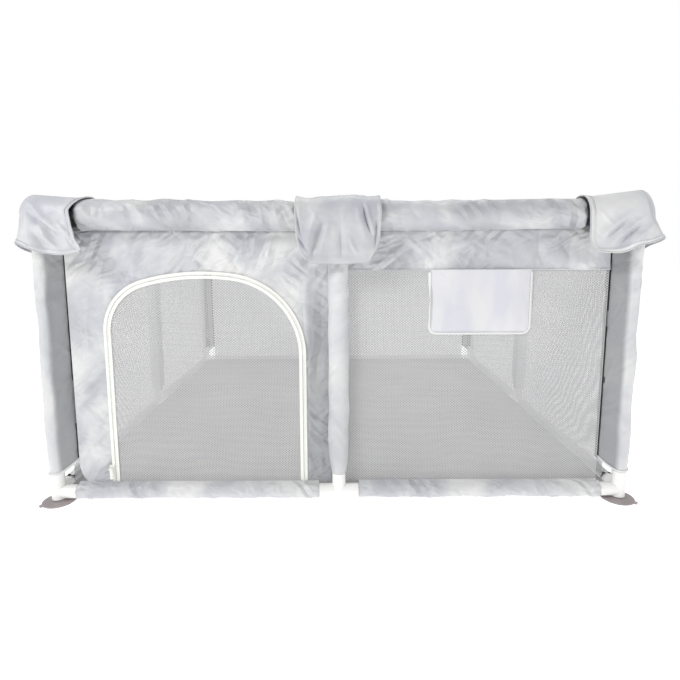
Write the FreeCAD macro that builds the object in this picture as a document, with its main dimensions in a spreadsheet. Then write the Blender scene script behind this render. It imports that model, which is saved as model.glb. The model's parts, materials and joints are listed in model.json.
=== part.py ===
"""Square baby playpen: a tube frame in plastic connectors, a sewn cover of mesh and cloth, a zipped door.

Units are millimetres. The origin is on the floor under the middle of the pen, +Z is up and -Y is the
front, the side with the door. Each side is two bays long, with a post at every corner and one in the
middle of each side. What repeats is made for the front side or the front left corner and turned about Z.
"""

import FreeCAD
import Part
import Sketcher
import math
import os

VECTOR = FreeCAD.Vector
SIDES = {"front": 0, "right": 90, "back": 180, "left": 270}
CORNERS = {"front_left": 0, "front_right": 90, "back_right": 180, "back_left": 270}

DIMENSIONS = {
    # frame
    "post_span": 1236.0,
    "low_rail_height": 21.5,
    "top_rail_height": 618.0,
    "tube_diameter": 22.0,
    "tube_wall": 0.6,
    # plastic connectors
    "connector_diameter": 29.0,
    "connector_round": 1.5,
    "arm_reach": 44.0,
    "socket_diameter": 22.2,
    "socket_depth": 31.0,
    "tube_gap": 0.5,
    "foot_socket_diameter": 8.2,
    "foot_socket_depth": 9.0,
    # suction feet
    "cup_radius": 35.0,
    "cup_lip": 3.0,
    "cup_height": 5.0,
    "cup_hollow": 2.5,
    "cup_edge": 1.6,
    "neck_radius": 8.0,
    "neck_rise": 1.0,
    "stem_radius": 4.0,
    "tab_reach": 40.0,
    "tab_width": 14.0,
    "tab_thickness": 2.0,
    # foam and sleeves
    "sleeve_diameter": 63.0,
    "foam_diameter": 60.0,
    "foam_bore": 22.6,
    "cloth": 1.2,
    "sleeve_from_corner": 46.0,
    "sleeve_from_middle": 46.0,
    "low_sleeve_diameter": 33.0,
    "low_sleeve_gap": 45.0,
    "corner_sleeve_radius": 16.0,
    "corner_sleeve_far": 45.0,
    "corner_sleeve_near": 22.0,
    "mid_sleeve_diameter": 44.0,
    "post_sleeve_low": 65.0,
    "post_sleeve_high": 571.0,
    # walls
    "wall_thickness": 3.0,
    "wall_inset": 13.0,
    "wall_clearance": 0.4,
    "wall_from_corner": 44.0,
    "wall_from_middle": 19.6,
    # door: its outline is the line of the zip's teeth
    "door_left": -493.0,
    "door_right": -77.0,
    "door_sill": 47.0,
    "door_top": 497.0,
    "left_shoulder": 108.0,
    "right_shoulder": 170.0,
    "crown_radius": 472.0,
    "crown_middle": -288.0,
    "doorway_offset": 6.0,
    "tape_half": 9.0,
    "tape_gap": 0.75,
    "tape_thickness": 2.0,
    "sill_drop": 2.5,
    # zip slider and its pull
    "slider_width": 11.0,
    "slider_length": 16.0,
    "slider_thickness": 3.5,
    "slider_start": 71.0,
    "slider_side": 7.5,
    "ear_thickness": 1.2,
    "ear_reach": 5.5,
    "pin_radius": 0.8,
    "pin_stand": 3.9,
    "pull_width": 6.0,
    "pull_length": 20.0,
    "pull_thickness": 1.6,
    "pull_hole": 1.2,
    # toy pocket
    "pocket_left": 193.0,
    "pocket_right": 409.0,
    "pocket_low": 370.0,
    "pocket_high": 503.0,
    "pocket_depth": 11.0,
    "pocket_corner": 16.0,
    # floor
    "floor_half": 600.0,
    "floor_low": 7.0,
    "floor_thickness": 2.0,
    # fabric caps over the top joints
    "cap_radius": 36.5,
    "corner_cap_reach": 110.0,
    "cap_outer_drop": 76.0,
    "cap_inner_drop": 33.0,
    "mid_cap_width": 180.0,
    "mid_cap_drop": 96.0,
    "mid_cap_inner_drop": 42.0,
    "cap_hinge_gap": 1.5,
    "flap_corner": 24.0,
}

doc = FreeCAD.newDocument("Playpen")
sizes = doc.addObject("Spreadsheet::Sheet", "Sizes")
nodes = {}


def fill_sheet():
    """Write every driving dimension into the sheet, each cell with its alias."""
    for row, (alias, value) in enumerate(DIMENSIONS.items(), start=1):
        sizes.set(f"A{row}", alias)
        sizes.set(f"B{row}", str(value))
        sizes.setAlias(f"B{row}", alias)
    doc.recompute()


def size(expression):
    """The number that an expression of sheet aliases comes to."""
    words = expression.replace("Sizes.", "")
    return float(sizes.evalExpression(words))


def about_z(angle, placement):
    """A placement made for the front, turned about the pen's vertical axis."""
    return FreeCAD.Placement(VECTOR(0, 0, 0), FreeCAD.Rotation(VECTOR(0, 0, 1), angle)) * placement


def at(x, y, z, axis=(0, 0, 1), angle=0):
    return FreeCAD.Placement(VECTOR(x, y, z), FreeCAD.Rotation(VECTOR(*axis), angle))


def along_x(x, y, z):
    """A placement that lays a piece's own Z axis along X."""
    return at(x, y, z, (0, 1, 0), 90)


def upright(x, y, z):
    """A placement that stands a flat outline up in the XZ plane, its thickness going towards -Y."""
    return at(x, y, z, (1, 0, 0), 90)


def node(label, thing):
    """Register one document object as a sub-part."""
    thing.Label = label
    nodes[label] = thing
    return thing


def group(label, things):
    """Register several separate solids as one sub-part."""
    compound = doc.addObject("Part::Compound", label)
    compound.Links = things
    return node(label, compound)


# ---------------------------------------------------------------- sketches and features


def new_body(name):
    return doc.addObject("PartDesign::Body", name)


def new_sketch(body, plane, name):
    sketch = body.newObject("Sketcher::SketchObject", name)
    origin_plane = [f for f in body.Origin.OriginFeatures if f.Role == plane][0]
    sketch.AttachmentSupport = (origin_plane, [""])
    sketch.MapMode = "FlatFace"
    return sketch


def bind(sketch, kind, references, expression):
    """Add a dimension to a sketch and bind it to the sheet."""
    number = sketch.addConstraint(Sketcher.Constraint(kind, *references, size(expression)))
    sketch.setExpression(f"Constraints[{number}]", expression)


def pin(sketch, piece, end, x, y):
    """Hold one end of a sketched piece at (x, y) from the sketch's origin, both given as expressions."""
    bind(sketch, "DistanceX", (-1, 1, piece, end), x)
    bind(sketch, "DistanceY", (-1, 1, piece, end), y)


def circle(sketch, radius):
    number = sketch.addGeometry(Part.Circle(VECTOR(0, 0, 0), VECTOR(0, 0, 1), size(radius)))
    sketch.addConstraint(Sketcher.Constraint("Coincident", number, 3, -1, 1))
    bind(sketch, "Radius", (number,), radius)


def polygon(sketch, corners):
    """A closed outline of straight edges, each corner given as a pair of expressions."""
    points = [VECTOR(size(x), size(y), 0) for x, y in corners]
    edges = [
        sketch.addGeometry(Part.LineSegment(points[i], points[(i + 1) % len(points)]))
        for i in range(len(points))
    ]
    for i, edge in enumerate(edges):
        sketch.addConstraint(Sketcher.Constraint("Coincident", edge, 2, edges[(i + 1) % len(edges)], 1))
        pin(sketch, edge, 1, *corners[i])


def pad(body, sketch, length, both_ways=False):
    feature = body.newObject("PartDesign::Pad", body.Name + "_pad")
    feature.Profile = sketch
    feature.setExpression("Length", length)
    feature.Midplane = both_ways
    return feature


def pocket(body, sketch, length):
    """Cut a sketched outline out of the body, upwards from the sketch."""
    feature = body.newObject("PartDesign::Pocket", body.Name + "_pocket")
    feature.Profile = sketch
    feature.Reversed = True
    feature.setExpression("Length", length)
    return feature


def box(name, length, width, height, placement=None):
    thing = doc.addObject("Part::Box", name)
    thing.setExpression("Length", length)
    thing.setExpression("Width", width)
    thing.setExpression("Height", height)
    thing.Placement = placement or at(0, 0, 0)
    return thing


def cylinder(name, radius, height, placement=None):
    thing = doc.addObject("Part::Cylinder", name)
    thing.setExpression("Radius", radius)
    thing.setExpression("Height", height)
    thing.Placement = placement or at(0, 0, 0)
    return thing


def fuse(name, things):
    joined = doc.addObject("Part::MultiFuse", name)
    joined.Shapes = things
    return joined


def cut(name, base, tool):
    left = doc.addObject("Part::Cut", name)
    left.Base = base
    left.Tool = tool
    return left


def rounded(name, base, radius, choose):
    """Round the edges of base that choose(edge) picks."""
    doc.recompute()
    fillet = doc.addObject("Part::Fillet", name)
    fillet.Base = base
    value = size(radius)
    fillet.Edges = [
        (number, value, value)
        for number, edge in enumerate(base.Shape.Edges, start=1)
        if choose(edge)
    ]
    return fillet


def low_corners(low):
    """A test for the two edges through an upright panel's thickness at its lower corners."""

    def chosen(edge):
        spread = edge.BoundBox
        through = spread.YLength > 0.5 and spread.XLength < 0.01 and spread.ZLength < 0.01
        return through and abs(spread.Center.z - low) < 0.01

    return chosen


# ---------------------------------------------------------------- tubes, foam and round sleeves


def ring_tube(name, outer, inner, length, placement):
    """A straight pipe along its own Z axis: outer and inner are radii."""
    body = new_body(name)
    sketch = new_sketch(body, "XY_Plane", name + "_ring")
    circle(sketch, outer)
    circle(sketch, inner)
    pad(body, sketch, length)
    body.Placement = placement
    return body


def frame_tube(name, length, placement):
    return ring_tube(
        name, "Sizes.tube_diameter / 2", "Sizes.tube_diameter / 2 - Sizes.tube_wall", length, placement
    )


def rails(height, label):
    """Two tubes a side, from a corner connector to the middle one."""
    start = size("arm_reach - socket_depth + tube_gap")
    length = "Sizes.post_span / 2 - 2 * (Sizes.arm_reach - Sizes.socket_depth + Sizes.tube_gap)"
    half = size("post_span / 2")
    for side, angle in SIDES.items():
        tubes = [
            frame_tube(f"{label}_{side}_{bay}", length, about_z(angle, along_x(x, -half, height)))
            for bay, x in enumerate((-half + start, start), start=1)
        ]
        group(f"{label}_{side}", tubes)


def posts():
    """A tube at each corner and in the middle of each side, between the low and the top connectors."""
    half = size("post_span / 2")
    foot = size("low_rail_height + arm_reach - socket_depth + tube_gap")
    length = (
        "Sizes.top_rail_height - Sizes.low_rail_height"
        " - 2 * (Sizes.arm_reach - Sizes.socket_depth + Sizes.tube_gap)"
    )
    for corner, angle in CORNERS.items():
        name = f"corner_post_{corner}"
        node(name, frame_tube(name, length, about_z(angle, at(-half, -half, foot))))
    for side, angle in SIDES.items():
        name = f"mid_post_{side}"
        node(name, frame_tube(name, length, about_z(angle, at(0, -half, foot))))


def bay_pieces(make, name, height, from_corner, from_middle):
    """One piece per bay, eight in all, each along its rail."""
    half = size("post_span / 2")
    starts = (-half + size(from_corner), size(from_middle))
    return [
        make(f"{name}_{side}_{bay}", about_z(angle, along_x(x, -half, height)))
        for side, angle in SIDES.items()
        for bay, x in enumerate(starts, start=1)
    ]


def rail_covers():
    """Foam round each top rail, its cloth sleeve, and the plain sleeves round the low rails."""
    top, low = size("top_rail_height"), size("low_rail_height")
    length = "Sizes.post_span / 2 - Sizes.sleeve_from_corner - Sizes.sleeve_from_middle"
    group(
        "rail_foam",
        bay_pieces(
            lambda name, place: ring_tube(
                name, "Sizes.foam_diameter / 2", "Sizes.foam_bore / 2", length, place
            ),
            "foam",
            top,
            "sleeve_from_corner",
            "sleeve_from_middle",
        ),
    )
    group(
        "top_rail_sleeves",
        bay_pieces(
            lambda name, place: ring_tube(
                name, "Sizes.sleeve_diameter / 2", "Sizes.sleeve_diameter / 2 - Sizes.cloth", length, place
            ),
            "top_sleeve",
            top,
            "sleeve_from_corner",
            "sleeve_from_middle",
        ),
    )
    low_length = "Sizes.post_span / 2 - 2 * Sizes.low_sleeve_gap"
    outer = "Sizes.low_sleeve_diameter / 2"
    group(
        "low_rail_sleeves",
        bay_pieces(
            lambda name, place: ring_tube(name, outer, f"{outer} - Sizes.cloth", low_length, place),
            "low_sleeve",
            low,
            "low_sleeve_gap",
            "low_sleeve_gap",
        ),
    )


# ---------------------------------------------------------------- post sleeves


def kite(sketch, radius, far, near):
    """A round outline about the origin, drawn out to a flat inner side between the two walls' seams."""
    r = size(radius)
    first, second = VECTOR(size(far), size(near), 0), VECTOR(size(near), size(far), 0)
    spread = math.acos(r / first.Length)
    before = math.atan2(first.y, first.x) - spread
    after = math.atan2(second.y, second.x) + spread
    around = Part.Circle(VECTOR(0, 0, 0), VECTOR(0, 0, 1), r)
    bend = sketch.addGeometry(Part.ArcOfCircle(around, after, before + 2 * math.pi))
    leave = VECTOR(r * math.cos(before), r * math.sin(before), 0)
    land = VECTOR(r * math.cos(after), r * math.sin(after), 0)
    out = sketch.addGeometry(Part.LineSegment(leave, first))
    across = sketch.addGeometry(Part.LineSegment(first, second))
    home = sketch.addGeometry(Part.LineSegment(second, land))
    sketch.addConstraint(Sketcher.Constraint("Coincident", bend, 3, -1, 1))
    bind(sketch, "Radius", (bend,), radius)
    sketch.addConstraint(Sketcher.Constraint("Tangent", bend, 2, out, 1))
    sketch.addConstraint(Sketcher.Constraint("Coincident", out, 2, across, 1))
    sketch.addConstraint(Sketcher.Constraint("Coincident", across, 2, home, 1))
    sketch.addConstraint(Sketcher.Constraint("Tangent", home, 2, bend, 1))
    pin(sketch, out, 2, far, near)
    pin(sketch, across, 2, near, far)


def post_sleeves():
    """Cloth round every post, drawn inwards to the two walls at the corners and round in the middle."""
    half, low = size("post_span / 2"), size("post_sleeve_low")
    length = "Sizes.post_sleeve_high - Sizes.post_sleeve_low"
    radius, far, near = (f"Sizes.corner_sleeve_{word}" for word in ("radius", "far", "near"))
    corners = []
    for corner, angle in CORNERS.items():
        body = new_body(f"corner_sleeve_{corner}")
        outline = new_sketch(body, "XY_Plane", body.Name + "_outline")
        kite(outline, radius, far, near)
        kite(outline, f"{radius} - Sizes.cloth", f"{far} - Sizes.cloth * sqrt(2)", near)
        pad(body, outline, length)
        body.Placement = about_z(angle, at(-half, -half, low))
        corners.append(body)
    group("corner_post_sleeves", corners)
    outer = "Sizes.mid_sleeve_diameter / 2"
    inner = f"{outer} - Sizes.cloth"
    group(
        "mid_post_sleeves",
        [
            ring_tube(f"mid_sleeve_{side}", outer, inner, length, about_z(angle, at(0, -half, low)))
            for side, angle in SIDES.items()
        ],
    )


# ---------------------------------------------------------------- connectors and feet


def connector(name, arms, placement, foot_hole=False):
    """A moulded joint: round arms from one middle, each with a socket for a tube."""
    radius, reach = "Sizes.connector_diameter / 2", "Sizes.arm_reach"
    turns = {"up": at(0, 0, 0), "down": at(0, 0, 0, (1, 0, 0), 180)}
    turns |= {"+x": at(0, 0, 0, (0, 1, 0), 90), "-x": at(0, 0, 0, (0, 1, 0), -90)}
    turns |= {"+y": at(0, 0, 0, (1, 0, 0), -90)}
    barrels, sockets = [], []
    for arm in arms:
        barrels.append(cylinder(f"{name}_arm", radius, reach, turns[arm]))
        step = turns[arm] * at(0, 0, size("arm_reach - socket_depth"))
        depth = "Sizes.socket_depth + 1"
        sockets.append(cylinder(f"{name}_socket", "Sizes.socket_diameter / 2", depth, step))
    base = at(0, 0, -size("connector_diameter / 2"))
    barrels.append(cylinder(f"{name}_hub", radius, "Sizes.connector_diameter", base))
    if foot_hole:
        below = at(0, 0, -size("connector_diameter / 2") - 1)
        depth = "Sizes.foot_socket_depth + 1"
        sockets.append(cylinder(f"{name}_foot_hole", "Sizes.foot_socket_diameter / 2", depth, below))
    outside = fuse(f"{name}_outside", barrels)
    end = size("arm_reach")

    def at_an_arm_end(edge):
        middle = edge.BoundBox.Center
        return abs(max(abs(middle.x), abs(middle.y), abs(middle.z)) - end) < 0.01

    soft = rounded(f"{name}_soft", outside, "Sizes.connector_round", at_an_arm_end)
    whole = cut(name, soft, fuse(f"{name}_bores", sockets))
    whole.Placement = placement
    return whole


def connectors():
    half = size("post_span / 2")
    low, top = size("low_rail_height"), size("top_rail_height")
    for corner, angle in CORNERS.items():
        name = f"low_corner_connector_{corner}"
        place = about_z(angle, at(-half, -half, low))
        node(name, connector(name, ("up", "+x", "+y"), place, foot_hole=True))
    for side, angle in SIDES.items():
        name = f"low_tee_{side}"
        node(name, connector(name, ("up", "+x", "-x"), about_z(angle, at(0, -half, low))))
    group(
        "top_corner_connectors",
        [
            connector(f"top_corner_{corner}", ("down", "+x", "+y"), about_z(angle, at(-half, -half, top)))
            for corner, angle in CORNERS.items()
        ],
    )
    group(
        "top_tees",
        [
            connector(f"top_tee_{side}", ("down", "+x", "-x"), about_z(angle, at(0, -half, top)))
            for side, angle in SIDES.items()
        ],
    )


def suction_foot(name, placement):
    """A flat rubber cup, a neck, a stem that plugs into the connector and a tab that breaks the seal."""
    body = new_body(name)
    profile = new_sketch(body, "XZ_Plane", name + "_profile")
    connector_base = "Sizes.low_rail_height - Sizes.connector_diameter / 2"
    stem_top = f"{connector_base} + Sizes.foot_socket_depth - 0.5"
    polygon(
        profile,
        [
            ("0", "Sizes.cup_hollow"),
            ("Sizes.cup_radius * 0.45", "Sizes.cup_hollow - 1"),
            ("Sizes.cup_radius - Sizes.cup_lip", "0"),
            ("Sizes.cup_radius", "0"),
            ("Sizes.cup_radius - 0.6", "Sizes.cup_edge"),
            ("Sizes.cup_radius * 0.62", "Sizes.cup_height * 0.68"),
            ("Sizes.neck_radius + 4", "Sizes.cup_height"),
            ("Sizes.neck_radius", "Sizes.cup_height + Sizes.neck_rise"),
            ("Sizes.neck_radius", f"{connector_base} - 0.3"),
            ("Sizes.stem_radius", f"{connector_base} - 0.3"),
            ("Sizes.stem_radius", stem_top),
            ("0", stem_top),
        ],
    )
    turned = body.newObject("PartDesign::Revolution", name + "_turned")
    turned.Profile = profile
    turned.ReferenceAxis = (profile, ["V_Axis"])
    turned.Angle = 360
    tab = new_sketch(body, "XY_Plane", name + "_tab")
    lip_middle = "Sizes.cup_radius - Sizes.cup_lip / 2"
    polygon(
        tab,
        [
            (lip_middle, "-Sizes.tab_width / 2"),
            ("Sizes.tab_reach", "-Sizes.tab_width / 3"),
            ("Sizes.tab_reach", "Sizes.tab_width / 3"),
            (lip_middle, "Sizes.tab_width / 2"),
        ],
    )
    pad(body, tab, "Sizes.tab_thickness")
    body.Placement = placement
    return body


def feet():
    half = size("post_span / 2")
    towards_corner = 225
    for corner, angle in CORNERS.items():
        name = f"suction_foot_{corner}"
        place = about_z(angle, at(-half, -half, 0, (0, 0, 1), towards_corner))
        node(name, suction_foot(name, place))


# ---------------------------------------------------------------- walls, door and zip


def wall_slab(name, from_low, from_high, left, length, placement_angle):
    """A plain upright slab of one bay's cloth, a little inside the plane of the posts."""
    height = f"({from_high}) - ({from_low})"
    place = at(size(left), -size(WALL_FRONT), size(from_low))
    return box(name, length, "Sizes.wall_thickness", height, about_z(placement_angle, place))


WALL_FRONT = "Sizes.post_span / 2 - Sizes.wall_inset + Sizes.wall_thickness / 2"
WALL_SIDE = "(Sizes.wall_inset - Sizes.wall_thickness / 2) ^ 2"
WALL_LOW = (
    "Sizes.low_rail_height + sqrt((Sizes.low_sleeve_diameter / 2) ^ 2"
    f" - {WALL_SIDE}) + Sizes.wall_clearance"
)
WALL_HIGH = (
    "Sizes.top_rail_height - sqrt((Sizes.sleeve_diameter / 2) ^ 2"
    f" - {WALL_SIDE}) - Sizes.wall_clearance"
)
WALL_LENGTH = "Sizes.post_span / 2 - Sizes.wall_from_corner - Sizes.wall_from_middle"
BAY_STARTS = ("wall_from_corner - post_span / 2", "wall_from_middle")


def arch_spots(offset):
    """The middles, radii and ends of the door outline's arcs, this far outside the zip line."""
    gap = size(offset)
    crown = size("crown_radius")
    middle = VECTOR(size("crown_middle"), size("door_top - crown_radius"), 0)
    shoulders = []
    for x, radius, inward in (
        (size("door_left"), size("left_shoulder"), 1),
        (size("door_right"), size("right_shoulder"), -1),
    ):
        across = x + inward * radius - middle.x
        rise = math.sqrt((crown - radius) ** 2 - across**2)
        centre = VECTOR(middle.x + across, middle.y + rise, 0)
        meet = middle + (centre - middle).normalize() * (crown + gap)
        shoulders.append((centre, radius + gap, meet, x - inward * gap))
    return middle, crown + gap, shoulders


def arch(sketch, offset, low):
    """The door's outline: two legs, a tight and a wide shoulder and a low crown, closed along the sill."""
    middle, crown, (left_side, right_side) = arch_spots(offset)
    left_centre, left_radius, left_meet, left_x = left_side
    right_centre, right_radius, right_meet, right_x = right_side
    sill = size(low)
    bottom = sketch.addGeometry(Part.LineSegment(VECTOR(left_x, sill, 0), VECTOR(right_x, sill, 0)))
    right_top = VECTOR(right_x, right_centre.y, 0)
    right = sketch.addGeometry(Part.LineSegment(VECTOR(right_x, sill, 0), right_top))
    left_top = VECTOR(left_x, left_centre.y, 0)
    left = sketch.addGeometry(Part.LineSegment(left_top, VECTOR(left_x, sill, 0)))

    def arc(centre, radius, start, end):
        angles = [math.atan2(p.y - centre.y, p.x - centre.x) for p in (start, end)]
        around = Part.Circle(centre, VECTOR(0, 0, 1), radius)
        return sketch.addGeometry(Part.ArcOfCircle(around, *angles))

    right_bend = arc(right_centre, right_radius, right_top, right_meet)
    top = arc(middle, crown, right_meet, left_meet)
    left_bend = arc(left_centre, left_radius, left_meet, left_top)
    pin(sketch, bottom, 1, f"Sizes.door_left - ({offset})", low)
    pin(sketch, bottom, 2, f"Sizes.door_right + ({offset})", low)
    sketch.addConstraint(Sketcher.Constraint("Coincident", bottom, 2, right, 1))
    sketch.addConstraint(Sketcher.Constraint("Coincident", left, 2, bottom, 1))
    sketch.addConstraint(Sketcher.Constraint("Vertical", right))
    sketch.addConstraint(Sketcher.Constraint("Vertical", left))
    for before, after in ((right, right_bend), (right_bend, top), (top, left_bend), (left_bend, left)):
        sketch.addConstraint(Sketcher.Constraint("Tangent", before, 2, after, 1))
    pin(sketch, top, 3, "Sizes.crown_middle", "Sizes.door_top - Sizes.crown_radius")
    bind(sketch, "Radius", (top,), f"Sizes.crown_radius + ({offset})")
    bind(sketch, "Radius", (right_bend,), f"Sizes.right_shoulder + ({offset})")
    bind(sketch, "Radius", (left_bend,), f"Sizes.left_shoulder + ({offset})")


def door_wall():
    """The solid cloth of the front left bay, with the doorway cut through it."""
    body = new_body("door_wall")
    outline = new_sketch(body, "XY_Plane", "door_wall_outline")
    left, right = f"Sizes.{BAY_STARTS[0].replace('post', 'Sizes.post')}", "-Sizes.wall_from_middle"
    polygon(outline, [(left, WALL_LOW), (right, WALL_LOW), (right, WALL_HIGH), (left, WALL_HIGH)])
    pad(body, outline, "Sizes.wall_thickness")
    doc.recompute()
    doorway = new_sketch(body, "XY_Plane", "doorway_outline")
    arch(doorway, "Sizes.doorway_offset", "Sizes.door_sill - Sizes.sill_drop")
    solid_before = body.Shape.Volume
    pocket(body, doorway, "Sizes.wall_thickness")
    doc.recompute()
    if body.Shape.Volume > 0.9 * solid_before:
        raise RuntimeError("the doorway cut nothing")
    body.Placement = upright(0, size("wall_thickness") - size(WALL_FRONT), 0)
    node("door_wall_front_left", body)


def arch_band(name, outer, inner, low):
    """A flat strip that follows the door's outline on both legs and over the crown, open along the sill."""
    body = new_body(name)
    outside = new_sketch(body, "XY_Plane", name + "_outside")
    arch(outside, outer, low)
    pad(body, outside, "Sizes.tape_thickness")
    doc.recompute()
    inside = new_sketch(body, "XY_Plane", name + "_inside")
    arch(inside, inner, f"{low} - 1")
    pocket(body, inside, "Sizes.tape_thickness")
    return body


def door():
    """The mesh door and the two halves of its zip tape, which lie just in front of the wall."""
    front = -size(WALL_FRONT) - 0.5
    mesh = new_body("door_mesh")
    outline = new_sketch(mesh, "XY_Plane", "door_mesh_outline")
    arch(outline, "-Sizes.tape_half - 0.3", "Sizes.door_sill")
    pad(mesh, outline, "Sizes.tape_thickness")
    inner = arch_band("zip_tape_door", "-Sizes.tape_gap", "-Sizes.tape_half", "Sizes.door_sill")
    outer = arch_band("zip_tape_wall", "Sizes.tape_half", "Sizes.tape_gap", "Sizes.door_sill")
    for thing in (mesh, inner, outer):
        thing.Placement = upright(0, front, 0)
        node(thing.Name, thing)


def mesh_walls():
    """The slabs of the seven bays without a door."""
    left = BAY_STARTS[1]
    front = wall_slab("mesh_wall", WALL_LOW, WALL_HIGH, left, WALL_LENGTH, SIDES["front"])
    node("mesh_wall_front_right", front)
    for side in ("right", "back", "left"):
        slabs = [
            wall_slab(f"mesh_wall_{side}_{bay}", WALL_LOW, WALL_HIGH, start, WALL_LENGTH, SIDES[side])
            for bay, start in enumerate(BAY_STARTS, start=1)
        ]
        group(f"mesh_walls_{side}", slabs)


def slider():
    """The zip slider: a plate riding on the wall's half of the tape, two ears and a pin for the pull."""
    x = size("door_left - slider_side")
    back = -size(WALL_FRONT) - size("tape_thickness") - 1
    z = size("slider_start")
    width, thick, length = size("slider_width"), size("slider_thickness"), size("slider_length")
    plate = box("slider_plate", "Sizes.slider_width", "Sizes.slider_thickness", "Sizes.slider_length")
    plate.Placement = at(x - width / 2, back - thick, z - length / 2)
    soft = rounded("slider_soft", plate, "Sizes.slider_thickness / 3", lambda edge: True)
    ear_face = back - thick - size("ear_reach")
    inner = size("pull_width / 2") + 0.5
    ears = [
        box(
            "slider_ear",
            "Sizes.ear_thickness",
            "Sizes.ear_reach + 1",
            "Sizes.slider_length / 3",
            at(left, ear_face, z - length / 6),
        )
        for left in (x - inner - size("ear_thickness"), x + inner)
    ]
    pin_length = "Sizes.pull_width + 1 + 2 * Sizes.ear_thickness"
    pin_y = back - thick - size("pin_stand")
    bar = cylinder(
        "slider_pin", "Sizes.pin_radius", pin_length, along_x(x - inner - size("ear_thickness"), pin_y, z)
    )
    node("zip_slider", fuse("zip_slider", [soft, *ears, bar]))
    return x, pin_y, z


def pull(x, y, z):
    """The pull tab, hanging from the slider's pin by its eye."""
    body = new_body("zip_pull")
    half, hang = "Sizes.pull_width / 2", "Sizes.pull_length"
    outline = new_sketch(body, "XY_Plane", "zip_pull_outline")
    r = size(half)
    left = outline.addGeometry(Part.LineSegment(VECTOR(-r, 0, 0), VECTOR(-r, -size(hang), 0)))
    right = outline.addGeometry(Part.LineSegment(VECTOR(r, -size(hang), 0), VECTOR(r, 0, 0)))
    head = Part.Circle(VECTOR(0, 0, 0), VECTOR(0, 0, 1), r)
    eye = outline.addGeometry(Part.ArcOfCircle(head, 0, math.pi))
    tail = Part.Circle(VECTOR(0, -size(hang), 0), VECTOR(0, 0, 1), r)
    end = outline.addGeometry(Part.ArcOfCircle(tail, math.pi, 2 * math.pi))
    for before, after in ((left, end), (end, right), (right, eye), (eye, left)):
        outline.addConstraint(Sketcher.Constraint("Tangent", before, 2, after, 1))
    outline.addConstraint(Sketcher.Constraint("Coincident", eye, 3, -1, 1))
    bind(outline, "Radius", (eye,), half)
    pin(outline, end, 3, "0", f"-{hang}")
    pad(body, outline, "Sizes.pull_thickness", both_ways=True)
    body.Placement = at(x, y, z, (1, 0, 0), 90)
    through = along_x(x - size("pull_width"), y, z)
    eye_hole = cylinder("pull_eye", "Sizes.pull_hole", "2 * Sizes.pull_width", through)
    knuckle = cylinder("pull_knuckle", "Sizes.pull_hole + 0.8", "Sizes.pull_width", along_x(x - r, y, z))
    node("zip_pull", cut("zip_pull_cut", fuse("zip_pull_whole", [body, knuckle]), eye_hole))


def toy_pocket():
    """A shallow pocket on the outside of the front right bay, open at its top."""
    back = -size(WALL_FRONT) - 0.3
    width = "Sizes.pocket_right - Sizes.pocket_left"
    height = "Sizes.pocket_high - Sizes.pocket_low"
    left, low, depth, cloth = (size(w) for w in ("pocket_left", "pocket_low", "pocket_depth", "cloth"))
    outside = box("pocket_outside", width, "Sizes.pocket_depth", height, at(left, back - depth, low))
    inside = box(
        "pocket_inside",
        f"{width} - 2 * Sizes.cloth",
        "Sizes.pocket_depth",
        height,
        at(left + cloth, back - depth + cloth, low + cloth),
    )
    corner = "Sizes.pocket_corner"
    soft = rounded("pocket_soft", outside, corner, low_corners(low))
    hollow = rounded("pocket_hollow", inside, f"{corner} - Sizes.cloth", low_corners(low + cloth))
    node("toy_pocket", cut("toy_pocket", soft, hollow))


def floor():
    half = size("floor_half")
    sheet = box(
        "floor_sheet",
        "2 * Sizes.floor_half",
        "2 * Sizes.floor_half",
        "Sizes.floor_thickness",
        at(-half, -half, size("floor_low")),
    )
    node("floor_sheet", sheet)


# ---------------------------------------------------------------- caps over the top joints


def round_topped_bar(name, along, radius, start, length, drop):
    """A bar along X or Y over a rail, from start on, its top round and its sides straight down by drop."""
    side, low = -size(radius), -size(drop)
    width = f"2 * ({radius})"
    if along == "x":
        block = box(f"{name}_sides", length, width, drop, at(start, side, low))
        top = cylinder(f"{name}_top", radius, length, along_x(start, 0, 0))
    else:
        block = box(f"{name}_sides", width, length, drop, at(side, start, low))
        top = cylinder(f"{name}_top", radius, length, at(0, start, 0, (1, 0, 0), -90))
    return fuse(name, [block, top])


def hood(name, radius, reach, drop):
    """The space under a corner cap: a bar along each rail, and at the corner what the two bars share."""
    arms = [round_topped_bar(f"{name}_arm_{along}", along, radius, 0, reach, drop) for along in "xy"]
    corner = doc.addObject("Part::MultiCommon", f"{name}_corner")
    corner.Shapes = [
        round_topped_bar(f"{name}_back_{along}", along, radius, -size(radius), radius, drop)
        for along in "xy"
    ]
    return fuse(f"{name}_space", [*arms, corner])


def corner_cap(corner, angle):
    """Cloth folded over a corner: a long skirt on the two outer sides, a short one inside the pen."""
    name = f"corner_cap_{corner}"
    reach, drop = "Sizes.corner_cap_reach", "Sizes.cap_outer_drop"
    outside = hood(f"{name}_outside", "Sizes.cap_radius", reach, drop)
    inside = hood(f"{name}_inside", "Sizes.cap_radius - Sizes.cloth", f"{reach} + 2", f"{drop} + 1")
    shell = cut(f"{name}_shell", outside, inside)
    inner_side = size("cap_radius / 2")
    place = at(inner_side, inner_side, -size(drop) - 1)
    trim = box(f"{name}_trim", f"2 * {reach}", f"2 * {reach}", f"{drop} + 1 - Sizes.cap_inner_drop", place)
    cap = cut(name, shell, trim)
    half = size("post_span / 2")
    cap.Placement = about_z(angle, at(-half, -half, size("top_rail_height")))
    node(name, cap)


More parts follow.
